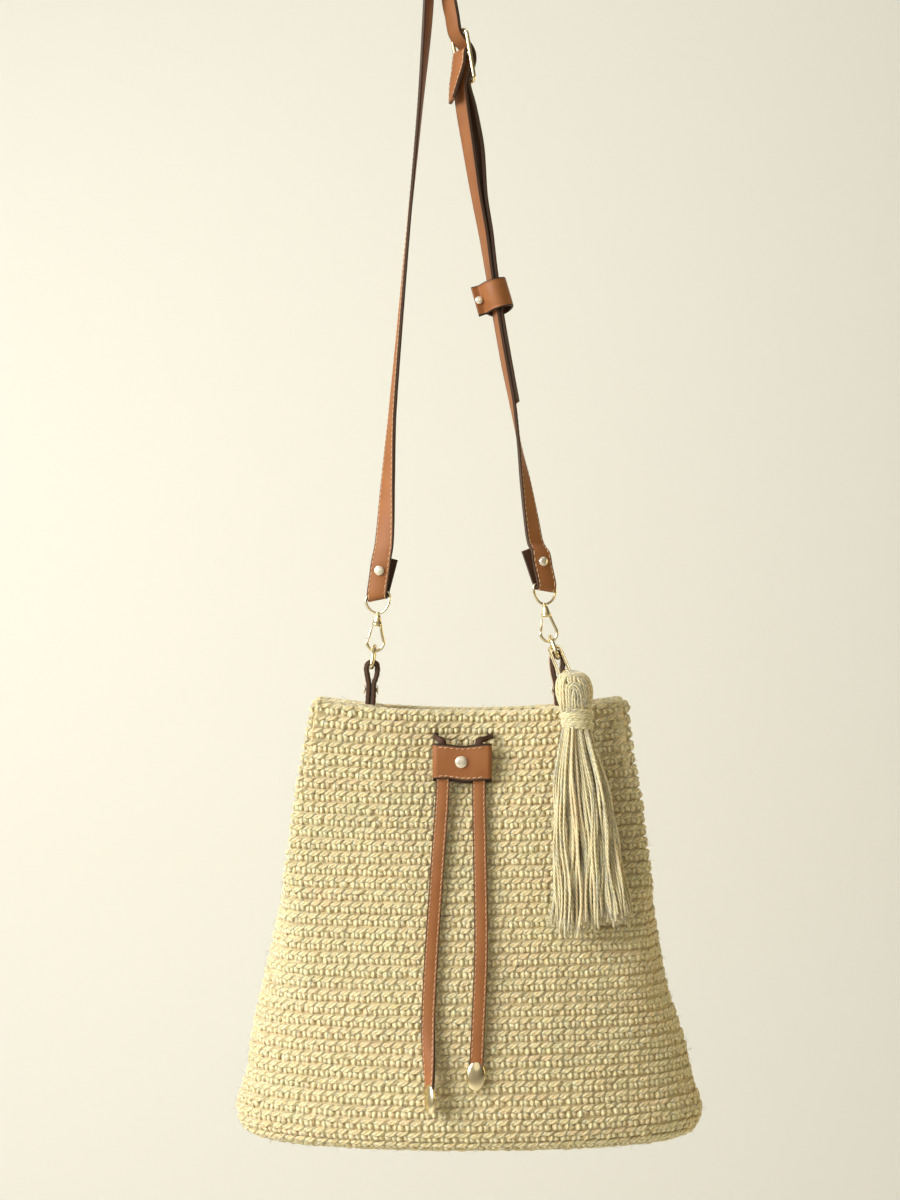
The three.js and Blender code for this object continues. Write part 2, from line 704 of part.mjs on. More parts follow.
// Keeper: a loop round both straps, its two ends riveted together at the left
function keeperParts() {
  const tilt = new THREE.Euler(0, THREE.MathUtils.degToRad(KEEPER.tilt), 0);
  const place = (x, y) => vec(x, y, 0).applyEuler(tilt).add(vec(KEEPER.x, 0, KEEPER.z));
  const side = vec(0, 0, 1).applyEuler(tilt);
  const leaf = KEEPER.leather / 2 + GAP / 2;
  const start = -KEEPER.halfX - KEEPER.flap;
  const closed = start + KEEPER.flap * 0.8;
  const points = [place(start, -leaf - KEEPER.splay), place(closed, -leaf)];
  for (let angle = 205; angle <= 515; angle += 31) {
    const turn = THREE.MathUtils.degToRad(angle);
    points.push(place(KEEPER.halfX * Math.cos(turn), KEEPER.halfY * Math.sin(turn)));
  }
  points.push(place(closed, leaf), place(start, leaf + KEEPER.splay));
  const rivetPoint = place(start + KEEPER.flap * 0.42, 0);
  const band = strip(points.map((point) => ({ point, side })), KEEPER.width, KEEPER.leather, 2);
  return {
    band: cut(band, rivetHole(rivetPoint, toFront)),
    pin: rivet(rivetPoint, toFront, 2 * KEEPER.leather + 5 * GAP, RIVET.smallHead),
  };
}

const keeper = keeperParts();
add('strap_keeper', keeper.band, LEATHER);
add('keeper_rivet', keeper.pin, GOLD);

// Swivel hooks, rings and tabs

// A D-shaped loop: a straight bar with round corners at the top, and a round bottom.
function dLoop(halfWidth, depth) {
  const corner = 3;
  const loop = [];
  for (const [x, start] of [[halfWidth - corner, 0], [-halfWidth + corner, 90]]) {
    for (const angle of [start, start + 45, start + 90]) {
      const turn = THREE.MathUtils.degToRad(angle);
      loop.push([x + corner * Math.cos(turn), -corner + corner * Math.sin(turn)]);
    }
  }
  for (let angle = 195; angle <= 345; angle += 15) {
    const turn = THREE.MathUtils.degToRad(angle);
    loop.push([halfWidth * Math.cos(turn), -corner + (depth - corner) * Math.sin(turn)]);
  }
  return loop;
}

// The eye that the strap folds round, with the post of the swivel under it
function eyeGeometry(end) {
  const { bar } = foldAxes(end);
  const loop = dLoop(EYE.halfWidth, EYE.depth);
  const middle = vec(end.barX, 0, end.barZ);
  const points = loop.map(([s, up]) => {
    const rise = up + end.slope * s * (1 + up / EYE.depth);
    return middle.clone().addScaledVector(bar, s).add(vec(0, 0, rise));
  });
  const normal = bar.clone().cross(vec(0, 0, 1));
  const profile = [
    [0, -POST.headBottom], [POST.head, -POST.headBottom + 0.4], [POST.head, -POST.headTop],
    [POST.radius, -POST.headTop + 0.3], [POST.radius, EYE.wire + GAP], [0, EYE.wire + GAP],
  ];
  const post = new THREE.LatheGeometry(profile.map(([r, y]) => new THREE.Vector2(r, y)), 12);
  post.rotateX(Math.PI / 2).applyMatrix4(hookMatrix(end));
  return join(wire(points, normal, EYE.wire, true), post);
}

// The hook hangs from the bottom of its eye, tilted in the plane of the front.
function hookMatrix(end) {
  const top = vec(end.barX, 0, end.barZ - EYE.depth - EYE.wire - GAP);
  const turn = new THREE.Matrix4().makeRotationY(THREE.MathUtils.degToRad(-end.tilt));
  return turn.setPosition(top);
}

// Half-width of the pear-shaped hook at a depth under its collar
function pearHalf(z) {
  const t = (-z - HOOK.collar) / (HOOK.length - HOOK.collar - HOOK.halfWidth);
  return THREE.MathUtils.lerp(HOOK.neck, HOOK.halfWidth, THREE.MathUtils.clamp(t, 0, 1));
}

function hookGeometry(end) {
  const { collar: deep, collarRadius: wide } = HOOK;
  const shoulder = -POST.headTop + GAP + 0.3;
  const hollow = [
    [POST.radius + GAP, 0],
    [POST.radius + GAP, shoulder],
    [POST.head + GAP, shoulder],
    [POST.head + GAP, -POST.headBottom - GAP],
    [0, -POST.headBottom - GAP],
  ];
  const outer = [[0, -deep - 1.4], [3.1, -deep - 1.2], [wide, -deep], [3.2, -2.2], [2.5, 0]];
  const profile = [...outer, ...hollow].map(([r, y]) => new THREE.Vector2(r, y));
  const collar = new THREE.LatheGeometry(profile, 12).rotateX(Math.PI / 2);
  const bendZ = -HOOK.length + HOOK.halfWidth;
  const points = [
    vec(2, 0, -deep + 0.2),
    vec(2.6, 0, -deep - 2),
    vec(pearHalf(bendZ + HOOK.halfWidth), 0, bendZ + HOOK.halfWidth),
  ];
  for (let angle = 0; angle >= -180; angle -= 22.5) {
    const turn = THREE.MathUtils.degToRad(angle);
    points.push(vec(HOOK.halfWidth * Math.cos(turn), 0, bendZ + HOOK.halfWidth * Math.sin(turn)));
  }
  points.push(vec(-pearHalf(GATE.bottom - 1.4), 0, GATE.bottom - GATE.wire - GAP));
  const bent = wire(points, vec(0, 1, 0), HOOK.wire, false);
  return join(collar, bent).applyMatrix4(hookMatrix(end));
}

// The gate swings on its upper end, which is round like a knuckle.
function gateGeometry(end) {
  const pivot = vec(GATE.x, 0, GATE.top - GATE.wire);
  const tip = vec(-pearHalf(GATE.bottom), 0, GATE.bottom);
  const direction = tip.clone().sub(pivot);
  const stick = new THREE.CapsuleGeometry(GATE.wire, direction.length(), 3, 8).rotateX(Math.PI / 2);
  const middle = pivot.clone().add(tip).multiplyScalar(0.5);
  return stick.applyMatrix4(along(middle, direction)).applyMatrix4(hookMatrix(end));
}

// The ring's straight bar lies in the tab, and its round top hangs in the hook.
function ringBar(end) {
  const bottom = vec(0, 0, -HOOK.length).applyMatrix4(hookMatrix(end));
  return vec(end.ringX, 0, bottom.z + HOOK.play - RING.depth);
}

// Direction in which the ring rises from its bar to the bottom of the hook
function ringRise(end) {
  const bottom = vec(0, 0, -HOOK.length).applyMatrix4(hookMatrix(end));
  return vec((bottom.x - end.ringX) / RING.depth, 0, 1);
}

function ringGeometry(end) {
  const rise = ringRise(end);
  const points = dLoop(RING.halfWidth, RING.depth).map(([y, up]) => {
    return ringBar(end).addScaledVector(rise, -up).add(vec(0, y, 0));
  });
  return wire(points, vec(1, 0, -rise.x).normalize(), RING.wire, true);
}

// Where the inner fold of a side of the body stands at a height
function sideX(end, z) {
  const section = bodySection(z - BAG.baseZ);
  return BAG.centreX + section[end.outward > 0 ? 0 : AROUND.fine / 2].x;
}

// A tab folded over its ring: the two leaves part under the ring, meet at the rivet and hang
// together down the outside of the wall.
function tabRows(end) {
  const bar = ringBar(end);
  const radius = RING.wire + 2 * GAP + TAB.thickness / 2;
  const closed = TAB.thickness / 2 + GAP / 2;
  const fromWall = end.outward * (ROWS.ridge + 4 * GAP + TAB.thickness + GAP / 2);
  const hung = [TAB.bottomZ, TAB.rimZ].map((z) => [sideX(end, z) + fromWall - bar.x, z]);
  const leaf = [
    ...hung.map(([x, z]) => [x, closed, z]),
    [hung[1][0] * 0.5, closed, TAB.rivetZ],
    [hung[1][0] * 0.4, closed, TAB.rivetZ + RIVET.strapHead + 0.8],
    [0, TAB.spread, (TAB.rivetZ + RIVET.strapHead + bar.z) / 2],
    [0, radius, bar.z],
  ];
  const arch = [45, 90, 135].map((angle) => {
    const turn = THREE.MathUtils.degToRad(angle);
    return [0, radius * Math.cos(turn), bar.z + radius * Math.sin(turn)];
  });
  const other = leaf.map(([x, away, z]) => [x, -away, z]).reverse();
  return [...leaf, ...arch, ...other].map(([x, away, z]) => ({
    point: vec(bar.x + x + away, 0, z),
    side: vec(0, 1, 0),
  }));
}

// The rivet stands square to the two leaves of the tab.
function tabRivet(end) {
  const rows = tabRows(end);
  const middles = [1, 2, 3].map((i) => rows[i].point.clone().add(rows[rows.length - 1 - i].point));
  const slope = middles[2].clone().sub(middles[0]).normalize();
  const direction = vec(slope.z, 0, -slope.x).multiplyScalar(end.outward);
  return { point: middles[1].multiplyScalar(0.5), direction };
}

for (const [side, end] of [['left', LEFT], ['right', RIGHT]]) {
  add(`${side}_hook_eye`, eyeGeometry(end), GOLD);
  add(`${side}_hook`, hookGeometry(end), GOLD);
  add(`${side}_gate`, gateGeometry(end), GOLD);
  add(`${side}_tab_ring`, ringGeometry(end), GOLD);
  const { point, direction } = tabRivet(end);
  const folded = strip(tabRows(end), TAB.width, TAB.thickness, 2);
  add(`${side}_tab`, cut(folded, rivetHole(point, direction)), LEATHER);
  const tabGrip = 2 * TAB.thickness + 4 * GAP;
  add(`${side}_tab_rivet`, rivet(point, direction, tabGrip, RIVET.strapHead, RIVET.flatBack), GOLD);
}

// Tassel on the right ring

const clampTop = ringBar(RIGHT).addScaledVector(ringRise(RIGHT), RING.depth * 0.3);
clampTop.y -= RING.halfWidth;
const tasselRingTop = vec(TASSEL_RING.x, TASSEL_RING.y, TASSEL_RING.topZ);
const claspAxis = tasselRingTop.clone().sub(clampTop).normalize();
const claspAcross = vec(1, 0, 0).addScaledVector(claspAxis, -claspAxis.x).normalize();
const claspNormal = claspAxis.clone().cross(claspAcross);
const claspHalf = clampTop.distanceTo(tasselRingTop) / 2 + CLASP.wire + 2 * (RING.wire + 2 * GAP);

// A long loop through the right ring and the tassel's ring
function claspGeometry() {
  const middle = clampTop.clone().add(tasselRingTop).multiplyScalar(0.5);
  const straight = claspHalf - CLASP.halfWidth;
  const points = [];
  for (const [start, end] of [[0, straight], [180, -straight]]) {
    for (let angle = start; angle <= start + 180; angle += 30) {
      const turn = THREE.MathUtils.degToRad(angle);
      const place = middle.clone().addScaledVector(claspAxis, end + CLASP.halfWidth * Math.sin(turn));
      points.push(place.addScaledVector(claspAcross, CLASP.halfWidth * Math.cos(turn)));
    }
  }
  return wire(points, claspNormal, CLASP.wire, true);
}

const tasselRingAxis = vec(0.12, -0.62, -0.78).normalize();
const tasselRingTangent = claspNormal.clone().addScaledVector(claspAcross, 0.8);
tasselRingTangent.addScaledVector(tasselRingAxis, -tasselRingTangent.dot(tasselRingAxis)).normalize();
const tasselRingNormal = tasselRingAxis.clone().cross(tasselRingTangent);
const tasselRingCentre = tasselRingTop.clone().addScaledVector(tasselRingAxis, TASSEL_RING.radius);

function tasselRing(wireRadius) {
  const points = Array.from({ length: 16 }, (_, i) => {
    const turn = (2 * Math.PI * i) / 16;
    const place = tasselRingCentre.clone();
    place.addScaledVector(tasselRingAxis, TASSEL_RING.radius * Math.cos(turn));
    return place.addScaledVector(tasselRingTangent, TASSEL_RING.radius * Math.sin(turn));
  });
  return wire(points, tasselRingNormal, wireRadius, true);
}

// Places of the strands in the bundle, ring by ring, in units of its half-width
function strandPlaces() {
  const places = [[0, 0]];
  for (let ring = 1; ring <= TASSEL.rings; ring += 1) {
    for (let i = 0; i < 6 * ring; i += 1) {
      const angle = (2 * Math.PI * (i + 0.5 * (ring % 2))) / (6 * ring);
      places.push([(ring / TASSEL.rings) * Math.cos(angle), (ring / TASSEL.rings) * Math.sin(angle)]);
    }
  }
  return places;
}

function strandGeometry([s, t], index) {
  const last = SKIRT.length - 1;
  const uneven = TASSEL.unevenEnd * Math.sin(index * 2.4);
  const stations = SKIRT.map((row, i) => ({
    point: vec(row.x + s * row.halfX, row.y + t * row.halfY, row.z + (i === last ? uneven : 0)),
    side: vec(1, 0, 0),
    face: vec(0, 1, 0),
  }));
  return sweep(stations, roundSection(TASSEL.strand, 3));
}

// The head is the folded yarn over the ring, with the wound band under it.
function tasselGeometry() {
  const { head, band, topX, topZ } = TASSEL;
  const profile = table(
    ['radius', 'down'],
    [
      [0, 42],
      [band * 0.9, 42],
      [band, 39.5],
      [band, 28.5],
      [band * 0.96, 26.5],
      [head * 0.97, 18.5],
      [head, 12.5],
      [head * 0.86, 5.5],
      [head * 0.5, 1],
      [0, 0],
    ],
  );
  const outline = profile.map(({ radius, down }) => new THREE.Vector2(radius, -down));
  const bulb = new THREE.LatheGeometry(outline, 18);
  bulb.rotateX(Math.PI / 2).scale(1, TASSEL.flatten, 1);
  const lean = (SKIRT[0].x - topX) / (SKIRT[0].z - topZ);
  bulb.applyMatrix4(new THREE.Matrix4().makeShear(0, 0, 0, 0, lean, 0)).translate(topX, SKIRT[0].y, topZ);
  const strands = strandPlaces().map(strandGeometry);
  return cut(join(bulb, ...strands), tasselRing(TASSEL_RING.wire + GAP));
}

add('tassel_clasp', claspGeometry(), GOLD);
add('tassel_ring', tasselRing(TASSEL_RING.wire), GOLD);
add('tassel', tasselGeometry(), JUTE);

export default bag;
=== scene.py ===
"""Dresses the hanging crochet bag with jute yarn, stitched leather and pale gold metal.

Sizes of the bag are in millimetres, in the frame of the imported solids, and become metres in make_piece.
The stage, the lights and the camera are in metres.
"""
import math
from types import SimpleNamespace as Sizes

import bpy
import numpy as np
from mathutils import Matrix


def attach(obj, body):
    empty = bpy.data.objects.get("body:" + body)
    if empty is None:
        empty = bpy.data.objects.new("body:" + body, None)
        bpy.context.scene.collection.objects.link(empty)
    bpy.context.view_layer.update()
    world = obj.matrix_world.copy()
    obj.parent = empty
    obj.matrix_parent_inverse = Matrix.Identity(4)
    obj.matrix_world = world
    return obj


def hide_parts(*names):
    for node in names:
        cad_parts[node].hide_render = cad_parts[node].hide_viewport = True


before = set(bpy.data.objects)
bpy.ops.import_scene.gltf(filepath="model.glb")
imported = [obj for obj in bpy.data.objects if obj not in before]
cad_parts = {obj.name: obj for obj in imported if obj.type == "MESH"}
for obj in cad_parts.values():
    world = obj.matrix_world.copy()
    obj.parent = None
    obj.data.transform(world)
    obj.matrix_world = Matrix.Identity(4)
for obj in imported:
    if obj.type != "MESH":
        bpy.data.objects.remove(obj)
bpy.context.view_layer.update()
rng = np.random.default_rng(11)
MM = 0.001

# Sizes of the pieces, as on the solids
GAP = 0.4
CENTRE_X = 25.5
BASE_Z = -899.5
HEIGHT = 327.0
RIM_DIP = 8.0
WALL = 6.0
FINE = 432
SOFTENING = 10
CORNER = math.radians(40)
DENT = Sizes(x=19.5, height=288.0, spread_x=34.0, spread_z=62.0, depth=7.0)
STRAP = Sizes(width=15.0, thickness=2.2, shown=2.6, groove=6.0)
LACE = Sizes(width=10.0, thickness=2.2, groove=3.55, clearance=2.0, ridge=0.9)
LACE_HOLE = Sizes(z=-599.0, left=-0.5, right=41.0, behind_y=-11.8, open_x=5.2, open_z=-599.6, open_height=5.5)
SLIDER = Sizes(x=19.5, y=-36.4, z=-616.8, width=43.4, height=25.6, leather=1.8, rivet_x=18.6,
               left_lace_x=4.6, right_lace_x=32.0)
LACE_TIP = Sizes(half_width=6.85, half_thick=2.6, half_height=10.8, bite=7.0)
TAB = Sizes(width=11.0, thickness=3.4, bottom_z=-593.0, spread=3.4, rivet_z=-566.0, rim_z=-576.0)
RING = Sizes(half_width=8.4, depth=15.8, wire=1.6)
EYE = Sizes(half_width=9.2, depth=14.4, wire=1.1)
HOOK = Sizes(collar=7.0, collar_radius=3.9, neck=2.4, length=26.7, half_width=6.2, wire=1.1, play=3.5)
GATE = Sizes(x=-3.9, top=-8.7, bottom=-17.8, wire=0.95)
BUCKLE = Sizes(x=20.0, z=-90.0, turn=35.0, lean=12.0, half_width=9.4, top=17.0, bottom=-21.0, wire=1.3)
KEEPER = Sizes(x=45.4, z=-270.5, half_x=9.4, half_y=12.8, width=22.0, leather=1.6, flap=7.4, tilt=-16.0,
               splay=0.8)
RIVET = Sizes(post=1.4, head=4.4, strap_head=3.6, small_head=2.9, dome=1.7, flat_back=0.8)
FOLD = Sizes(radius=EYE.wire + 3 * GAP + STRAP.thickness / 2, leaf=26.0, front=24.0, rivet=17.0)
TASSEL = Sizes(top_x=99.4, top_z=-550.5, flatten=0.82)
TASSEL_RING = Sizes(x=94.6, y=-23.5, top_z=-551.5, radius=6.6, wire=0.9)
CLASP = Sizes(half_width=4.2, wire=1.1)
LEFT = Sizes(side="left", bar_x=-43.6, bar_z=-494.3, turn=78.0, slope=0.2, lean=0.14, leaf_lean=7.0,
             tilt=-5.0, ring_x=-48.0, outward=-1)
RIGHT = Sizes(side="right", bar_x=81.5, bar_z=-487.5, turn=-65.0, slope=0.16, lean=0.24, leaf_lean=10.0,
              tilt=9.0, ring_x=91.0, outward=1)

# The body by height: half-widths left and right of the centre, half-depth, folds of the left and the right
# side, and how boxed it is
BODY = np.array([
    [0, 156, 156, 42, 0, 0, 0],
    [5, 167.5, 167, 53, 0, 0, 0],
    [14, 173.5, 172.5, 58.5, 0, 0, 0],
    [26, 174.5, 173.5, 60, 0, 0, 0],
    [38, 171, 168.5, 58.5, 0, 0, 0.03],
    [52, 167, 165, 57, 0, 0, 0.06],
    [76, 164, 160, 55, 0, 0, 0.12],
    [112, 156, 148, 52, 1, 1, 0.25],
    [150, 147.5, 141, 49, 8, 9, 0.4],
    [188, 139.5, 135, 45.5, 17, 19, 0.55],
    [220, 134.5, 130.5, 42, 27, 31, 0.7],
    [254, 130, 126.5, 38, 43, 50, 0.82],
    [290, 124, 120.5, 33, 58, 63, 0.93],
    [327, 117.5, 116.5, 28, 53.5, 60, 1],
], float)

# Straps: x, y, z and the turn of the width. The doubled stretch has x, z, turn and how far the two lie
# apart; the stretch under it x, z and turn; the rows at the buckle across, up and, where it twists, turn
LEFT_LEG = [
    [-38.9, -1, -457, 66], [-36, 0, -408.75, 38], [-33, 0, -362.25, 18], [-27.75, 0, -300, 10],
    [-21, 0, -223.5, 4], [-12, 0, -129, -5], [-5.6, 0, -48.75, -22], [-4.9, 0, -14, -8], [-3.7, 0, -3, 0],
    [0, 0, 1.1, 0], [3.7, 0, -3, 0], [5.2, 0, -14, 10], [8.8, 0, -44, 33],
]
RIGHT_LEG = [
    [22.6, -129, 34, 3.3], [28, -159, 30, 4], [32.8, -197, 22.5, 2.3], [37.5, -223.5, 20, 1.9],
    [41.3, -250, 15, 1.6], [46.4, -283, 13, 1.4], [53.2, -322, 12, 1.4], [58.9, -351, 8, 1.4],
]
RIGHT_LEG_LOW = [[62.8, -385, -7], [66.75, -408.75, -27], [71, -436, -43], [74.6, -456, -52]]
LONG_THROUGH_BUCKLE = [
    [-3.6, 30], [-3.5, 17], [-0.5, 11], [3.8, 5.8], [5.9, 0], [5.1, -6], [0.7, -14], [-3.4, -21],
]
SHORT_BELOW_BUCKLE = [[1.7, -6], [-2.6, -14], [-6.5, -21]]
BUCKLE_LEAF = [[-17, -33, 10], [-11.5, -20, 26], [-6, -9, 35]]

# The lace's tails: x, z and turn, from the slider down
LEFT_TAIL = [
    [5.1, -612, 90], [5.2, -634, 90], [1.1, -695, 90], [-3.2, -758, 90], [-5.3, -808, 80], [-4.4, -835, 50],
    [-4.1, -851, 30],
]
RIGHT_TAIL = [
    [32.4, -612, 90], [31.6, -634, 90], [32.3, -688, 90], [32.9, -751, 90], [30.6, -808, 90],
    [29.2, -836, 90],
]

# The tassel's skirt: z, centre x and y, half-width and half-depth
SKIRT = np.array([
    [-589, 102.6, -46.5, 9.2, 7.6],
    [-608, 104, -48, 13, 8.6],
    [-640, 107.5, -51.5, 20.5, 9.6],
    [-690, 111, -57, 26, 10],
    [-737, 113, -61, 28.5, 10],
], float)

# Crochet: stitches round the bag, rows as tall as this, and rounds of the base round its first chain, whose
# stitches are as wide as this; each round's stitches stand a share of one further on
STITCHES = 88
ROW_HEIGHT = 9.05
ROW_SHIFT = 0.21
BASE_ROUNDS = 5
BASE_CHAIN = 114 / 156
BASE_STITCH = 8.6
BASE_SHIFT = 0.3
# How far out from the outline the cloth under the yarn lies, and how many loose fibres stand off the yarn
BACKING = -1.9
FUZZ = 4500
# One stitch: place along the row in stitches, up in rows, out from the outline, and yarn radius
TOP_BAR = np.array([
    [-0.68, 0.14, -2.8, 1.2],
    [-0.46, 0.17, -1.6, 1.6],
    [-0.2, 0.21, -0.9, 1.85],
    [0.08, 0.25, -0.7, 1.95],
    [0.34, 0.29, -0.9, 1.85],
    [0.56, 0.33, -1.6, 1.55],
    [0.74, 0.36, -2.8, 1.15],
])
LEG = np.array([
    [0.36, 0.12, -1.9, 1.95],
    [0.32, -0.01, -1.0, 2.35],
    [0.25, -0.14, -0.8, 2.4],
    [0.18, -0.26, -1.3, 2.2],
    [0.12, -0.36, -2.8, 1.55],
])
BAR_FLAT = 0.8
LEG_FLAT = 0.52
# How far a loop strays along its row, up, out and in its bend, and how much its thickness varies
STRAY = np.array([0.06, 0.03, 0.2, 0.05])
UNEVEN = 0.07

# Leather: radius of its edges, and the reach and depth of the line pressed under its thread
EDGE_ROUND = 0.45
PRESS_REACH = 0.4
PRESS_DEPTH = 0.16

# Sides of the round sections of wire, yarn, thread and loose fibre
WIRE_SIDES = 14
YARN_SIDES = 6
THREAD_SIDES = 4
FIBRE_SIDES = 3
FIBRE_RADIUS = 0.11


# Vectors, curves and sections

def vec(x, y, z):
    return np.array([x, y, z], float)


UP, BACK = vec(0, 0, 1), vec(0, 1, 0)
# Two directions that no path or axis here follows, from which round sections are set square to theirs
ASLANT, LOW_ASLANT = vec(0.31, 0.17, 0.93), vec(0.31, 0.93, 0.17)


def unit(v):
    return v / np.maximum(np.linalg.norm(v, axis=-1, keepdims=True), 1e-9)


def lengths_along(path):
    """Distance from the start of each path to each of its points."""
    steps = np.linalg.norm(np.diff(path, axis=-2), axis=-1)
    return np.concatenate([np.zeros(steps.shape[:-1] + (1,)), np.cumsum(steps, axis=-1)], axis=-1)


def cubic(low, high, slope_low, slope_high, t):
    """Places on a smooth curve between two, by its slopes at both."""
    a = 2 * low - 2 * high + slope_low + slope_high
    b = 3 * high - 3 * low - 2 * slope_low - slope_high
    return ((a * t + b) * t + slope_low) * t + low


def row_at(rows, value):
    """A row of a table at a value of its first column, on a smooth curve through the rows."""
    i = int(np.clip(np.searchsorted(rows[:, 0], value) - 1, 0, len(rows) - 2))
    low, high = rows[i], rows[i + 1]
    before, after = rows[max(i - 1, 0)], rows[min(i + 2, len(rows) - 1)]
    span = high[0] - low[0]
    t = np.clip((value - low[0]) / span, 0, 1)
    slope_low = (high - before) / (high[0] - before[0]) * span
    slope_high = (after - low) / (after[0] - low[0]) * span
    return cubic(low, high, slope_low, slope_high, t)


def smooth_line(points, per):
    """Points of a smooth curve through the given ones, with this many steps from each to the next."""
    p = np.asarray(points, float)
    all_points = np.vstack([2 * p[0] - p[1], p, 2 * p[-1] - p[-2]])
    t = np.linspace(0, 1, per, endpoint=False)[:, None]
    tiny = 1e-4
    made = []
    for i in range(len(p) - 1):
        p0, p1, p2, p3 = all_points[i:i + 4]
        d0, d1, d2 = [np.sum((b - a) ** 2) ** 0.25 for a, b in ((p0, p1), (p1, p2), (p2, p3))]
        d1 = d1 if d1 > tiny else 1.0
        d0 = d0 if d0 > tiny else d1
        d2 = d2 if d2 > tiny else d1
        start = ((p1 - p0) / d0 - (p2 - p0) / (d0 + d1) + (p2 - p1) / d1) * d1
        end = ((p2 - p1) / d1 - (p3 - p1) / (d1 + d2) + (p3 - p2) / d2) * d1
        made.append(cubic(p1, p2, start, end, t))
    return np.vstack(made + [p[-1:]])


def strip_stations(rows, per):
    """Path, width direction and face direction of a flat strip along rows of a point and a width."""
    path = smooth_line([point for point, _ in rows], per)
    across = smooth_line([side for _, side in rows], per)
    ahead = unit(np.gradient(path, axis=0))
    across = unit(across - ahead * np.sum(across * ahead, axis=1, keepdims=True))
    return path, across, np.cross(ahead, across)


def width_at(turn):
    """A strap's width, with its near edge this many degrees to the right of straight ahead."""
    angle = math.radians(turn)
    return vec(math.sin(angle), -math.cos(angle), 0)


def level_at(turn):
    """The level direction square to a strap's width."""
    angle = math.radians(turn)
    return vec(math.cos(angle), math.sin(angle), 0)


def tilted(tilt):
    """A turn, in degrees, about the direction from front to back."""
    c, s = math.cos(math.radians(tilt)), math.sin(math.radians(tilt))
    return np.array([[c, 0, s], [0, 1, 0], [-s, 0, c]])


def arc(x, y, half_x, half_y, degrees):
    """Points of an oval arc about a middle, at angles in degrees."""
    return [(x + half_x * math.cos(a), y + half_y * math.sin(a)) for a in np.radians(degrees)]


def bell(value, middle, spread):
    """A swell that is 1 in the middle and falls off on both sides."""
    return np.exp(-((value - middle) / spread) ** 2)


def leather_section(width, thickness, groove, paint):
    """A flat section with round edges and a line pressed under the thread, and where its edge is painted."""
    half, thick = width / 2, thickness / 2
    corner = min(EDGE_ROUND, thick * 0.5)
    flat = half - corner
    places = [flat, flat - paint, groove + PRESS_REACH, groove, groove - PRESS_REACH]
    dips = [0, 0, 0, PRESS_DEPTH, 0]
    marks = [1.0, 0.47, 0, 0, 0]
    rows = [(-s, dip, mark) for s, dip, mark in zip(places, dips, marks)]
    rows += [(-s, dip, mark) for s, dip, mark in rows[::-1]]
    low = [(s, dip - thick, mark) for s, dip, mark in rows]
    high = [(-s, thick - dip, mark) for s, dip, mark in rows]
    # The painted edge, whose lower mark in the middle shows the seam of two layers
    right = []
    for angle, mark in ((-60, 1.0), (-25, 1.0), (0, 0.7), (25, 1.0), (60, 1.0)):
        turn = math.radians(angle)
        rise = np.sign(angle) * (thick - corner)
        right.append((flat + corner * math.cos(turn), rise + corner * math.sin(turn), mark))
    left = [(-s, -f, mark) for s, f, mark in right]
    section = np.array(low + right + high + left)
    return section[:, :2], section[:, 2]


# Meshes

def new_part(points, faces, uvs, tint=None, edge=None):
    points = np.asarray(points, float).reshape(-1, 3)
    n = len(points)
    return {
        "points": points,
        "faces": faces,
        "uvs": uvs,
        "tint": np.full(n, 0.5) if tint is None else np.broadcast_to(tint, n),
        "edge": np.zeros(n) if edge is None else np.broadcast_to(edge, n),
    }


def swept(rings, along, closed=False, caps=True, tint=None, edge=None):
    """Faces over rings of points of the shape strands, stations, sides, 3, with each station's distance."""
    strands, stations, sides, _ = rings.shape
    index = np.arange(strands * stations * sides).reshape(strands, stations, sides)
    here = index if closed else index[:, :-1]
    ahead = np.roll(index, -1, axis=1) if closed else index[:, 1:]
    quads = np.stack([here, np.roll(here, -1, axis=2), np.roll(ahead, -1, axis=2), ahead], axis=-1)
    u_here = along if closed else along[:, :-1]
    u_ahead = along[:, 1:]
    if closed:
        u_ahead = np.concatenate([u_ahead, 2 * along[:, -1:] - along[:, -2:-1]], axis=1)
    v = np.arange(sides) / sides
    uv = np.empty(here.shape + (4, 2))
    uv[..., 0, 0] = uv[..., 1, 0] = u_here[:, :, None]
    uv[..., 2, 0] = uv[..., 3, 0] = u_ahead[:, :, None]
    uv[..., 0, 1] = uv[..., 3, 1] = v
    uv[..., 1, 1] = uv[..., 2, 1] = v + 1 / sides
    faces, uvs = [quads.reshape(-1, 4)], [uv.reshape(-1, 4, 2)]
    if caps and not closed:
        for cap in (index[:, 0, ::-1], index[:, -1]):
            faces.append(cap)
            uvs.append(np.zeros(cap.shape + (2,)))
    if tint is not None:
        tint = np.asarray(tint, float)
        tint = np.broadcast_to(tint.reshape(tint.shape + (1,) * (3 - tint.ndim)), index.shape).ravel()
    if edge is not None:
        edge = np.broadcast_to(edge, index.shape).ravel()
    return new_part(rings, faces, uvs, tint, edge)


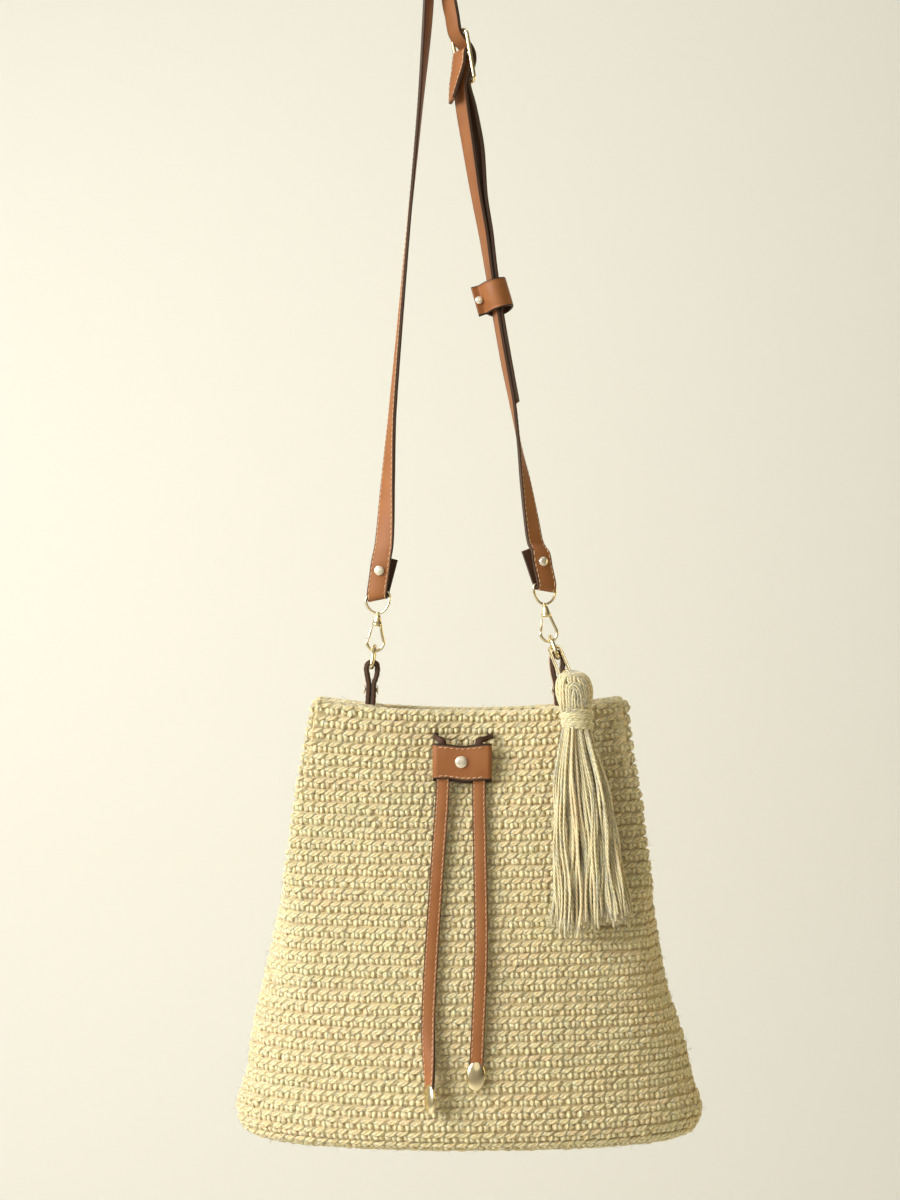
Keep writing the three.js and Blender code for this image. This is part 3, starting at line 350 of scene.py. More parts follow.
def tubes(paths, radius, sides, closed=False, start=None, tint=None, flat=1.0, caps=True):
    """Tubes along paths of the shape strands, stations, 3, flattened towards their start direction."""
    paths = np.asarray(paths, float)
    paths = paths[None] if paths.ndim == 2 else paths
    strands, stations, _ = paths.shape
    radius = np.broadcast_to(radius, (strands, stations))
    if closed:
        ahead = unit(np.roll(paths, -1, axis=1) - np.roll(paths, 1, axis=1))
    else:
        ahead = unit(np.gradient(paths, axis=1))
    start = np.cross(ahead[:, 0], ASLANT) if start is None else start
    carried = np.broadcast_to(start, (strands, 3))
    normal = np.empty_like(paths)
    for i in range(stations):
        here = ahead[:, i]
        carried = unit(carried - here * np.sum(carried * here, axis=-1, keepdims=True))
        normal[:, i] = carried
    other = np.cross(ahead, normal)
    angle = 2 * np.pi * (np.arange(sides) + 0.5) / sides
    around = flat * np.cos(angle)[:, None] * normal[:, :, None] + np.sin(angle)[:, None] * other[:, :, None]
    rings = paths[:, :, None] + radius[:, :, None, None] * around
    return swept(rings, lengths_along(paths), closed, caps, tint=tint)


def turned(profile, point, direction, steps=28):
    """A round part about a direction: rows of a radius and a height that rises along it."""
    profile = np.asarray(profile, float)
    direction = unit(np.asarray(direction, float))
    side = unit(np.cross(direction, LOW_ASLANT))
    other = np.cross(direction, side)
    angle = 2 * np.pi * np.arange(steps) / steps
    around = np.cos(angle)[:, None] * side + np.sin(angle)[:, None] * other
    rings = point + profile[:, 1, None, None] * direction + profile[:, 0, None, None] * around
    return swept(rings[None], profile[None, :, 1])


def leather_strip(
    stations, width, thickness, groove, closed=False, painted_shades=(0.0, 0.0), paint=0.12, narrow=1.0,
):
    """A strip of leather; the painted shade of its two faces and how far it is gathered are given for all or
    for each station.
    """
    path, across, face = stations
    section, edge = leather_section(width, thickness, groove, paint)
    across = across * np.broadcast_to(narrow, len(path))[:, None]
    rings = path[:, None] + section[:, 0, None] * across[:, None] + section[:, 1, None] * face[:, None]
    low, high = (np.broadcast_to(shade, len(path))[:, None] for shade in painted_shades)
    shade = np.where(section[:, 1] > 0, high, low)
    return swept(rings[None], lengths_along(path)[None], closed, tint=shade[None], edge=edge)


def threads(stations, places, margin=3.0, pitch=4.1, length=3.0, radius=0.33, slant=0.25):
    """Slanted stitches of thread along a strip, at places across it and out from its middle."""
    path, across, face = stations
    travelled = lengths_along(path)
    starts = np.arange(margin, travelled[-1] - margin - length, pitch)
    steps = np.array([0.0, 0.15, 0.5, 0.85, 1.0])
    at = starts[:, None] + length * steps
    sampled = []
    for values in (path, across, face):
        sampled.append(np.stack([np.interp(at, travelled, values[:, k]) for k in range(3)], axis=-1))
    mid, side, out = sampled
    lift = np.array([-0.5, 0.0, 0.12, 0.0, -0.5])
    parts = []
    for s, f in places:
        rise = f + math.copysign(1, f) * lift
        aside = s + slant * (2 * steps - 1)
        line = mid + aside[:, None] * side + rise[:, None] * out
        parts.append(tubes(line, radius, THREAD_SIDES, tint=rng.random(len(starts)), caps=False))
    return parts


def both_faces(groove, face):
    """Places of threads along both edges of a strip, on both of its faces."""
    return [(s, f) for s in (-groove, groove) for f in (-face, face)]


def add_object(name, data):
    obj = bpy.data.objects.new(name, data)
    bpy.context.scene.collection.objects.link(obj)
    return obj


def make_piece(name, parts, material, body="bag", nodes=()):
    """One joined mesh object from parts, riding on a body and standing for the named nodes."""
    loops, sizes, uvs = [], [], []
    offset = 0
    for one in parts:
        for faces, uv in zip(one["faces"], one["uvs"]):
            loops.append((faces + offset).ravel())
            sizes.append(np.full(len(faces), faces.shape[1]))
            uvs.append(uv.reshape(-1, 2))
        offset += len(one["points"])
    points = np.concatenate([one["points"] for one in parts]) * MM
    loops, sizes, uvs = np.concatenate(loops), np.concatenate(sizes), np.concatenate(uvs)
    mesh = bpy.data.meshes.new(name)
    mesh.vertices.add(len(points))
    mesh.vertices.foreach_set("co", points.ravel())
    mesh.loops.add(len(loops))
    mesh.loops.foreach_set("vertex_index", loops.astype(np.int32))
    mesh.polygons.add(len(sizes))
    mesh.polygons.foreach_set("loop_start", (np.cumsum(sizes) - sizes).astype(np.int32))
    mesh.update(calc_edges=True)
    mesh.uv_layers.new(name="yarn").data.foreach_set("uv", uvs.astype(np.float32).ravel())
    for key in ("tint", "edge"):
        values = np.concatenate([one[key] for one in parts]).astype(np.float32)
        mesh.attributes.new(key, "FLOAT", "POINT").data.foreach_set("value", values)
    mesh.validate()
    mesh.shade_smooth()
    mesh.materials.append(material)
    obj = add_object(name, mesh)
    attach(obj, body)
    if nodes:
        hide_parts(*nodes)
    return obj


def cut_boxes(obj, boxes):
    """Cuts boxes, each a centre, a size and three axes, out of a piece."""
    signs = np.array([[x, y, z] for x in (-1, 1) for y in (-1, 1) for z in (-1, 1)]) / 2
    faces = [(0, 1, 3, 2), (4, 6, 7, 5), (0, 4, 5, 1), (2, 3, 7, 6), (0, 2, 6, 4), (1, 5, 7, 3)]
    for centre, size, axes in boxes:
        points = (centre + (signs * size) @ np.asarray(axes)) * MM
        mesh = bpy.data.meshes.new("cutter")
        mesh.from_pydata(points.tolist(), [], faces)
        cutter = add_object("cutter", mesh)
        change = obj.modifiers.new("cut", "BOOLEAN")
        change.object = cutter
        change.operation = "DIFFERENCE"
        change.solver = "EXACT"
        done = bpy.data.meshes.new_from_object(obj.evaluated_get(bpy.context.evaluated_depsgraph_get()))
        obj.modifiers.clear()
        obj.data = done
        bpy.data.objects.remove(cutter)


# Finishes

def feed(tree, value, socket):
    """Links a node's output to a socket, or sets a plain value there."""
    if isinstance(value, bpy.types.NodeSocket):
        tree.links.new(value, socket)
    else:
        socket.default_value = value


def add_node(tree, kind, inputs=None, **settings):
    made = tree.nodes.new(kind)
    for key, value in settings.items():
        setattr(made, key, value)
    for key, value in (inputs or {}).items():
        feed(tree, value, made.inputs[key])
    return made


def maths(tree, operation, a, b=0.0):
    return add_node(tree, "ShaderNodeMath", {0: a, 1: b}, operation=operation).outputs[0]


def blended(tree, factor, a, b):
    """A colour between two, by a factor."""
    mix = add_node(tree, "ShaderNodeMix", data_type="RGBA")
    sockets = {socket.identifier: socket for socket in mix.inputs}
    for name, value in (("Factor_Float", factor), ("A_Color", a), ("B_Color", b)):
        feed(tree, value, sockets[name])
    return next(socket for socket in mix.outputs if socket.identifier == "Result_Color")


def ranged(tree, value, low, high, new_low=0.0, new_high=1.0):
    inputs = {"Value": value, "From Min": low, "From Max": high, "To Min": new_low, "To Max": new_high}
    return add_node(tree, "ShaderNodeMapRange", inputs).outputs[0]


def noise(tree, place, scale, detail):
    inputs = {"Vector": place, "Scale": scale, "Detail": detail}
    return add_node(tree, "ShaderNodeTexNoise", inputs).outputs["Fac"]


def own_place(tree):
    return add_node(tree, "ShaderNodeTexCoord").outputs["Object"]


def stored(tree, name):
    """A value that the points of a piece carry."""
    return add_node(tree, "ShaderNodeAttribute", attribute_name=name).outputs["Fac"]


def new_group(name, inputs, outputs):
    """A shader node group with named value inputs and outputs; gives its tree and what it is given."""
    tree = bpy.data.node_groups.new(name, "ShaderNodeTree")
    for label, value in inputs.items():
        tree.interface.new_socket(label, in_out="INPUT", socket_type="NodeSocketFloat").default_value = value
    for label in outputs:
        tree.interface.new_socket(label, in_out="OUTPUT", socket_type="NodeSocketFloat")
    return tree, tree.nodes.new("NodeGroupInput").outputs


def put_out(tree, values):
    """Ends a group with the values that it puts out."""
    out = tree.nodes.new("NodeGroupOutput")
    for label, value in values.items():
        tree.links.new(value, out.inputs[label])
    return tree


def yarn_twist_group():
    """Plies that wind along a yarn, fibres that follow them, and slow changes of the yarn's colour."""
    tree, given = new_group("yarn_twist", {"Turn": 0.9, "Plies": 3.0}, ["Ply", "Fibre", "Drift"])
    uv = add_node(tree, "ShaderNodeUVMap", uv_map="yarn").outputs[0]
    split = add_node(tree, "ShaderNodeSeparateXYZ", {0: uv}).outputs
    turns = maths(tree, "MULTIPLY", split[0], given["Turn"])
    plies = maths(tree, "MULTIPLY", given["Plies"], 2 * math.pi)
    phase = maths(tree, "ADD", turns, maths(tree, "MULTIPLY", split[1], plies))
    place = add_node(tree, "ShaderNodeCombineXYZ", {
        0: maths(tree, "MULTIPLY", split[0], 0.25),
        1: maths(tree, "MULTIPLY", phase, 0.36),
        2: maths(tree, "MULTIPLY", stored(tree, "tint"), 40.0),
    }).outputs[0]
    return put_out(tree, {
        "Ply": ranged(tree, maths(tree, "SINE", phase), -1.0, 1.0),
        "Fibre": noise(tree, place, 2.2, 3.0),
        "Drift": noise(tree, own_place(tree), 38.0, 2.0),
    })


def leather_grain_group():
    """Pores and fine creases of leather, and cloudy changes of its dye."""
    tree, given = new_group("leather_grain", {"Pores": 900.0, "Clouds": 60.0}, ["Height", "Cloud"])
    place = own_place(tree)
    pores = add_node(tree, "ShaderNodeTexVoronoi", {"Vector": place, "Scale": given["Pores"]})
    creases = noise(tree, place, given["Pores"], 4.0)
    return put_out(tree, {
        "Height": maths(tree, "ADD", pores.outputs["Distance"], creases),
        "Cloud": noise(tree, place, given["Clouds"], 3.0),
    })


def handling_group():
    """Faint smudges and hairlines on metal that is touched."""
    tree, given = new_group("handling", {"Smudges": 120.0}, ["Smudge", "Height"])
    place = own_place(tree)
    return put_out(tree, {
        "Smudge": noise(tree, place, given["Smudges"], 4.0),
        "Height": noise(tree, place, 1400.0, 2.0),
    })


YARN_TWIST = yarn_twist_group()
LEATHER_GRAIN = leather_grain_group()
HANDLING = handling_group()


def new_material(name, values):
    """A material with plain values on its shader's own sockets; gives its tree and shader too."""
    material = bpy.data.materials.new(name)
    material.use_nodes = True
    tree = material.node_tree
    shader = tree.nodes["Principled BSDF"]
    for label, value in values.items():
        shader.inputs[label].default_value = value
    return material, tree, shader


def place_group(tree, group, **values):
    placed = add_node(tree, "ShaderNodeGroup")
    placed.node_tree = group
    for label, value in values.items():
        placed.inputs[label].default_value = value
    return placed.outputs


def bumped(tree, shader, height, strength, distance):
    bump = add_node(tree, "ShaderNodeBump", {"Height": height, "Strength": strength, "Distance": distance})
    tree.links.new(bump.outputs[0], shader.inputs["Normal"])


DRY_JUTE = {
    "Roughness": 0.85,
    "Specular IOR Level": 0.3,
    "Sheen Weight": 0.6,
    "Sheen Roughness": 0.45,
    "Sheen Tint": (1.0, 0.92, 0.72, 1),
    "Subsurface Weight": 0.6,
    "Subsurface Radius": (1.0, 0.8, 0.5),
    "Subsurface Scale": 0.002,
}
GREENISH_STRAW = (0.62, 0.60, 0.34, 1)
REDDISH_STRAW = (0.74, 0.52, 0.31, 1)


def jute_finish(name, light, dark, turn, bump):
    """Twisted jute: pale straw with painted shade in the grooves between the plies, fibres of lighter and
    darker straw, and a soft dry sheen.
    """
    material, tree, shader = new_material(name, DRY_JUTE)
    yarn = place_group(tree, YARN_TWIST, Turn=turn)
    # The ply's height darkens the colour in its grooves, which is painted shade; the fibre noise is the
    # yarn's own tone
    amount = maths(tree, "ADD", maths(tree, "MULTIPLY", yarn["Ply"], 0.25), yarn["Fibre"])
    straw = blended(tree, ranged(tree, amount, 0.44, 0.80), dark, light)
    greenish = ranged(tree, yarn["Drift"], 0.50, 0.72, 0.0, 0.35)
    reddish = ranged(tree, stored(tree, "tint"), 0.60, 1.0, 0.0, 0.32)
    mixed = blended(tree, reddish, blended(tree, greenish, straw, GREENISH_STRAW), REDDISH_STRAW)
    tree.links.new(mixed, shader.inputs["Base Color"])
    height = maths(tree, "ADD", yarn["Ply"], maths(tree, "MULTIPLY", yarn["Fibre"], 1.4))
    bumped(tree, shader, height, bump, 0.0008)
    return material


def leather_finish(name, tan, deep, inner, edge_colour, seam):
    """Smooth tan leather whose faces are mixed towards a dark colour of painted shade where they are marked,
    with painted edges that show a seam between two layers.
    """
    material, tree, shader = new_material(name, {"Specular IOR Level": 0.28})
    grain = place_group(tree, LEATHER_GRAIN)
    edge = stored(tree, "edge")
    face = blended(tree, ranged(tree, grain["Cloud"], 0.3, 0.7), deep, tan)
    # Painted shade: the face is mixed towards the inner colour by the shade value that its points carry
    face = blended(tree, stored(tree, "tint"), face, inner)
    paint = blended(tree, ranged(tree, edge, 0.74, 0.95), seam, edge_colour)
    wander = maths(tree, "ADD", edge, ranged(tree, grain["Cloud"], 0.2, 0.8, -0.18, 0.18))
    painted = blended(tree, ranged(tree, wander, 0.40, 0.55), face, paint)
    tree.links.new(painted, shader.inputs["Base Color"])
    tree.links.new(ranged(tree, grain["Cloud"], 0.2, 0.8, 0.50, 0.62), shader.inputs["Roughness"])
    bumped(tree, shader, grain["Height"], 0.3, 0.00018)
    return material


def metal_finish(name, colour, tarnish, low, high, metallic=1.0):
    """Polished plated metal with faint smudges."""
    material, tree, shader = new_material(name, {"Metallic": metallic})
    handled = place_group(tree, HANDLING)
    plated = blended(tree, ranged(tree, handled["Smudge"], 0.35, 0.75), colour, tarnish)
    tree.links.new(plated, shader.inputs["Base Color"])
    tree.links.new(ranged(tree, handled["Smudge"], 0.3, 0.7, low, high), shader.inputs["Roughness"])
    bumped(tree, shader, handled["Height"], 0.08, 0.00005)
    return material


def thread_finish(name, dark, light):
    """Waxed sewing thread, with painted shade in the grooves between its plies."""
    material, tree, shader = new_material(name, {"Roughness": 0.6})
    yarn = place_group(tree, YARN_TWIST, Turn=6.0)
    tree.links.new(blended(tree, yarn["Ply"], dark, light), shader.inputs["Base Color"])
    bumped(tree, shader, yarn["Ply"], 0.5, 0.0001)
    return material


JUTE = jute_finish("jute_yarn", (0.95, 0.82, 0.505, 1), (0.55, 0.42, 0.185, 1), 1.2, 0.9)
JUTE_WALL = jute_finish("jute_backing", (0.78, 0.64, 0.37, 1), (0.56, 0.44, 0.22, 1), 1.0, 0.6)
JUTE_TASSEL = jute_finish("jute_tassel", (0.90, 0.78, 0.48, 1), (0.42, 0.33, 0.17, 1), 1.6, 0.4)
TAN = leather_finish(
    "tan_leather",
    tan=(0.31, 0.116, 0.035, 1),
    deep=(0.26, 0.093, 0.027, 1),
    # The inner colour is painted shade, for faces that lie in shadow
    inner=(0.070, 0.030, 0.013, 1),
    edge_colour=(0.026, 0.013, 0.007, 1),
    seam=(0.095, 0.048, 0.024, 1),
)
GOLD = metal_finish("pale_gold", (0.90, 0.78, 0.50, 1), (0.78, 0.63, 0.37, 1), 0.12, 0.26)
PEARL = metal_finish("champagne_rivet", (0.86, 0.78, 0.62, 1), (0.76, 0.66, 0.50, 1), 0.20, 0.34, 0.6)
THREAD = thread_finish("sewing_thread", (0.48, 0.29, 0.15, 1), (0.74, 0.53, 0.32, 1))


def crochet_cloth(name, parts, finish=JUTE):
    return make_piece(name, parts, finish, nodes=["bag_body"])


def leather_piece(name, part, node):
    return make_piece(name, [part], TAN, nodes=[node])


def metal_piece(name, parts, node, finish=GOLD, body="bag"):
    return make_piece(name, parts, finish, body, [node])


# Crocheted body

def boxed_points(angle, left_fold, right_fold):
    """The section with a flat front and back and sides that fold in."""
    x, y = np.cos(angle), np.sin(angle)
    from_side = np.arctan2(np.abs(y), np.abs(x))
    right, back = np.sign(x), np.sign(y)
    edge = 0.86
    q = np.clip(from_side / CORNER, 0, 1)
    ease = np.clip((q - 0.3) / 0.7, 0, 1)
    fold = np.where(right > 0, right_fold, left_fold) * (1 - ease * ease * (3 - 2 * ease))
    across = (np.pi / 2 - from_side) / (np.pi / 2 - CORNER)
    side = np.stack([right * (1 - fold), back * q * edge], axis=1)
    front = np.stack([right * across, back * (edge + (1 - edge) * (1 - across * across))], axis=1)
    return np.where((from_side < CORNER)[:, None], side, front)


def dent_at(x, height):
    across = (x - DENT.x) / DENT.spread_x
    up = (height - DENT.height) / DENT.spread_z
    return DENT.depth * np.exp(-across * across - up * up)


def body_section(height):
    """The outline of the body at a height, as points about its centre line."""
    _, left, right, depth, left_fold, right_fold, boxed = row_at(BODY, height)
    angle = np.arange(FINE) * 2 * np.pi / FINE
    oval = np.stack([np.cos(angle), np.sin(angle)], axis=1)
    raw = oval * (1 - boxed) + boxed_points(angle, left_fold / left, right_fold / right) * boxed
    soft = sum(np.roll(raw, k, axis=0) for k in range(-SOFTENING, SOFTENING + 1)) / (2 * SOFTENING + 1)
    x = np.where(soft[:, 0] > 0, soft[:, 0] / soft[:, 0].max() * right, soft[:, 0] / soft[:, 0].min() * -left)
    y = soft[:, 1] / soft[:, 1].max() * depth
    return np.stack([x, y + np.where(y < 0, dent_at(x + CENTRE_X, height), 0)], axis=1)


def body_ring(height, count):
    """Evenly spaced points round the body at a height, on the outline, with the dip of the rim."""
    section = body_section(height)
    _, left, right = row_at(BODY, height)[:3]
    across = section[:, 0] / np.where(section[:, 0] > 0, right, left)
    dip = RIM_DIP * (1 - across * across) * (max(height, 0) / HEIGHT) ** 3
    ring = np.column_stack([CENTRE_X + section[:, 0], section[:, 1], BASE_Z + height - dip])
    ring = np.vstack([ring, ring[:1]])
    travelled = lengths_along(ring)
    at = np.arange(count) / count * travelled[-1]
    return np.stack([np.interp(at, travelled, ring[:, k]) for k in range(3)], axis=1)


# The grid over the body: points round it, steps a row, and points round it for a rough measure
GRID_ROUND = STITCHES * 6
GRID_PER_ROW = 4
ROUGH_ROUND = 96


def body_grid():
    """A grid of points over the base and the wall, four steps a row, with rows of equal height."""
    heights = np.linspace(0, HEIGHT, 131)
    rings = np.stack([body_ring(h, ROUGH_ROUND) for h in heights])
    climbed = np.concatenate([[0], np.cumsum(np.linalg.norm(np.diff(rings, axis=0), axis=2).mean(axis=1))])
    rows = round(climbed[-1] / ROW_HEIGHT)
    levels = np.interp(np.linspace(0, climbed[-1], rows * GRID_PER_ROW + 1), climbed, heights)
    wall = np.stack([body_ring(h, GRID_ROUND) for h in levels])
    foot = (wall[0] - vec(CENTRE_X, 0, BASE_Z)) * vec(BASE_CHAIN, 0, 0) + vec(CENTRE_X, 0, BASE_Z)
    steps = np.linspace(0, 1, BASE_ROUNDS * GRID_PER_ROW, endpoint=False)[:, None, None]
    base = foot + (wall[0] - foot) * steps
    above = 2 * wall[-1] - wall[-2]
    return np.concatenate([base, wall, above[None]]), rows


BODY_GRID, ROWS = body_grid()
ROUND_STEP = np.roll(BODY_GRID, -1, axis=1) - np.roll(BODY_GRID, 1, axis=1)
UP_STEP = np.gradient(BODY_GRID, axis=0)
BODY_OUT = unit(np.cross(ROUND_STEP, UP_STEP))


def on_body(turn, row, out):
    """Points of the body at parts of a turn round it and at rows from the base's edge, moved outwards."""
    turn, row, out = np.broadcast_arrays(turn, row, out)
    column = (turn % 1.0) * GRID_ROUND
    level = np.clip((row + BASE_ROUNDS) * GRID_PER_ROW, 0, len(BODY_GRID) - 1.001)
    c0, r0 = np.floor(column).astype(int), np.floor(level).astype(int)
    fc, fr = (column - c0)[..., None], (level - r0)[..., None]
    c0, c1 = c0 % GRID_ROUND, (c0 + 1) % GRID_ROUND
    made = []
    for grid in (BODY_GRID, BODY_OUT):
        low = grid[r0, c0] * (1 - fc) + grid[r0, c1] * fc
        high = grid[r0 + 1, c0] * (1 - fc) + grid[r0 + 1, c1] * fc
        made.append(low * (1 - fr) + high * fr)
    return made[0] + unit(made[1]) * out[..., None]


def crochet_row(row, count, shift):
    """Yarn paths of one round of stitches: the bar on top and the two legs under it."""
    centre = (np.arange(count) + shift) / count
    made = []
    for shape, flip in ((TOP_BAR, 1), (LEG, 1), (LEG, -1)):
        stray = rng.normal(0, 1, (count, 4)) * STRAY
        plump = 1 + rng.normal(0, UNEVEN, count)
        bent = stray[:, 3:] * np.linspace(-1, 1, len(shape))
        along = centre[:, None] + (flip * shape[:, 0] + stray[:, :1] + bent) / count
        up = row + 0.5 + shape[:, 1] + stray[:, 1:2]
        out = shape[:, 2] + stray[:, 2:3]
        line = on_body(along, up, out)
        outward = on_body(along, up, out + 1.0)[:, 2] - line[:, 2]
        made.append((line, shape[:, 3] * plump[:, None], outward))
    return made


def away_from_holes(paths):
    """Which strands stay clear of the two lace holes."""
    middle = paths.mean(axis=1)
    margin = 1.0
    clear = np.ones(len(paths), bool)
    for x in (LACE_HOLE.left, LACE_HOLE.right):
        near_x = np.abs(middle[:, 0] - x) < LACE_HOLE.open_x / 2 + margin
        near_z = np.abs(middle[:, 2] - LACE_HOLE.open_z) < LACE_HOLE.open_height / 2 + margin
        clear &= ~(near_x & near_z & (middle[:, 1] < 0))
    return clear


def crochet_piece(name, rounds):
    """Joined yarn of several rounds, each a row, a count of stitches and a shift."""
    sets = [[], [], []]
    for row, count, shift in rounds:
        for store, one in zip(sets, crochet_row(row, count, shift)):
            store.append(one)
    # Stitches that follow each other share much of their tint
    shared = 5
    parts = []
    for store, flat in zip(sets, (BAR_FLAT, LEG_FLAT, LEG_FLAT)):
        paths, radius, outward = (np.concatenate(values) for values in zip(*store))
        keep = away_from_holes(paths)
        tint = np.convolve(rng.random(len(paths) + shared - 1), np.ones(shared) / shared, mode="valid")
        tint = np.clip((tint - 0.5) * 2.2 + 0.5, 0, 1)[keep]
        parts.append(tubes(
            paths[keep], radius[keep], YARN_SIDES, start=outward[keep], tint=tint, flat=flat, caps=False,
        ))
    return crochet_cloth(name, parts)


def wall_piece():
    """The plain cloth under the yarn: outside, rim, inside with its rows, and floor."""
    columns = np.arange(0, GRID_ROUND, 3) / GRID_ROUND
    rib, ring_step = 0.7, 5.0
    rings = [on_body(columns, row, BACKING) for row in np.arange(-BASE_ROUNDS, ROWS + 0.01, 0.5)]
    for row in np.arange(ROWS, 0.9, -0.5):
        rings.append(on_body(columns, row, -WALL + rib * math.cos(2 * math.pi * (row + 0.5))))
    rings.extend(np.stack(rings[:BASE_ROUNDS * 2 + 1])[::-1] + vec(0, 0, WALL + abs(BACKING)))
    along = np.arange(len(rings))[None] * ring_step
    wall = crochet_cloth("crochet_wall", [swept(np.stack(rings)[None], along, caps=False)], JUTE_WALL)
    wall.data.flip_normals()
    return wall


crochet_wall = wall_piece()
third = math.ceil(ROWS / 3)
yarn_pieces = []
for label, first, last in (("low", 0, third), ("middle", third, 2 * third), ("high", 2 * third, ROWS)):
    rounds = [(row, STITCHES, ROW_SHIFT * row) for row in range(first, last)]
    yarn_pieces.append(crochet_piece("crochet_rows_" + label, rounds))
base_rounds = []
for k in range(BASE_ROUNDS):
    ring = BODY_GRID[int((k + 0.5) * GRID_PER_ROW)]
    around = np.linalg.norm(np.roll(ring, -1, axis=0) - ring, axis=1).sum()
    base_rounds.append((k - BASE_ROUNDS, int(around / BASE_STITCH), BASE_SHIFT * k))
yarn_pieces.append(crochet_piece("crochet_base", base_rounds))


def rim_piece():
    """The two loops of the last stitches, which lie along the top of the rim."""
    shape = TOP_BAR * np.array([1, -1, 1, 1])
    along = np.arange(STITCHES)[:, None] / STITCHES + shape[:, 0] / STITCHES
    up = ROWS + shape[:, 1] * 0.5
    inner = on_body(along, up, shape[:, 2] - 3.4)
    outer = on_body(along, up - 0.04, shape[:, 2] - 1.2)
    tint = rng.random(STITCHES)
    inner_yarn = tubes(inner, shape[:, 3] * 1.05, YARN_SIDES, tint=tint)
    return crochet_cloth("crochet_rim", [inner_yarn, tubes(outer, shape[:, 3], YARN_SIDES, tint=tint)])


def fuzz_piece():
    """Loose fibres that stand off the yarn."""
    turn = rng.random(FUZZ)
    row = rng.random(FUZZ) * ROWS
    reach = rng.normal(0, 1, (FUZZ, 2)) * np.array([0.004, 0.30])
    lift = 0.6 + 3.6 * rng.random(FUZZ) ** 3
    points = []
    for share, height in ((0.0, -0.6), (0.5, 0.8), (1.0, 1.0)):
        points.append(on_body(turn + share * reach[:, 0], row + share * reach[:, 1], height * lift))
    tint = rng.random(FUZZ) * 0.6
    fibres = tubes(np.stack(points, axis=1), FIBRE_RADIUS, FIBRE_SIDES, tint=tint, caps=False)
    return crochet_cloth("crochet_fuzz", [fibres])


yarn_pieces += [rim_piece(), fuzz_piece()]
# Each lace hole is a box through the near side of the cloth
hole_size = vec(LACE_HOLE.open_x, 30, LACE_HOLE.open_height)
hole_places = [vec(x, -30, LACE_HOLE.open_z) for x in (LACE_HOLE.left, LACE_HOLE.right)]
cut_boxes(crochet_wall, [(place, hole_size, np.eye(3)) for place in hole_places])
wall_rings = [body_ring(h, ROUGH_ROUND) for h in np.linspace(0, HEIGHT, 66)]
wall_climb = np.linalg.norm(np.diff(wall_rings, axis=0), axis=2).mean(axis=1).sum()
girth_ring = wall_rings[30]
wall_area = wall_climb * lengths_along(np.vstack([girth_ring, girth_ring[:1]]))[-1]


# Drawstring lace, slider and tips

# Points of a section that are nearer than this are its front
NEAR_SIDE = -8


def front_y(x, z):
    """Depth of the front of the body at a place."""
    section = body_section(z - BASE_Z)
    front = section[section[:, 1] < NEAR_SIDE]
    front = front[np.argsort(front[:, 0])]
    return np.interp(x - CENTRE_X, front[:, 0], front[:, 1])


def tail_rows(tail):
    """Rows of a tail: in the slider at first, then lying on the front of the body."""
    rows = []
    for x, z, turn in tail:
        side = width_at(turn)
        reach = abs(side[1]) * LACE_TIP.half_width + abs(side[0]) * LACE.thickness / 2
        lying = front_y(x, z) - LACE.ridge - LACE.clearance - reach
        in_slider = z > SLIDER.z - SLIDER.height
        rows.append((vec(x, SLIDER.y if in_slider else lying, z), side))
    return rows


def hole_rows(top_x, hole_x):
    """Rows of the lace from the slider through a hole to the middle of its hidden stretch."""
    middle = (LACE_HOLE.left + LACE_HOLE.right) / 2
    inward = math.copysign(1, middle - hole_x)
    behind = LACE_HOLE.behind_y
    slider_y = SLIDER.y
    # Place x and y, height over the holes, and the width's direction: level, ahead and upright
    steps = [
        (top_x, slider_y, -7.5, 1, 0, 0),
        (top_x, slider_y, -2.8, 1, 0, 0),
        ((top_x + hole_x) / 2, slider_y + 1.8, -1.2, 0.75, 0.45, 0.5),
        (hole_x, -30.4, 0.2, 0.25, 0.2, 0.95),
        (hole_x, -25, 0.2, 0, 0, 1),
        (hole_x + inward * 0.5, behind - 4, 0, 0, 0, 1),
        (hole_x + inward * 6, behind - 0.8, 0, 0, 0, 1),
        (middle - inward * 5, behind, 0, 0, 0, 1),
    ]
    rows = []
    for x, y, up, flat, ahead, upright in steps:
        rows.append((vec(x, y, LACE_HOLE.z + up), vec(flat, -inward * ahead, inward * upright)))
    return rows


def turned_over(rows):
    return [(point, -side) for point, side in rows]


LACE_STEPS = 10
# How far the lace is gathered in its holes, from row to row of its inner stretch
LACE_GATHER = [1, 0.8, 0.5, 0.38, 0.34, 0.34, 0.6, 1, 1, 1, 1, 0.6, 0.34, 0.34, 0.38, 0.5, 0.8, 1]
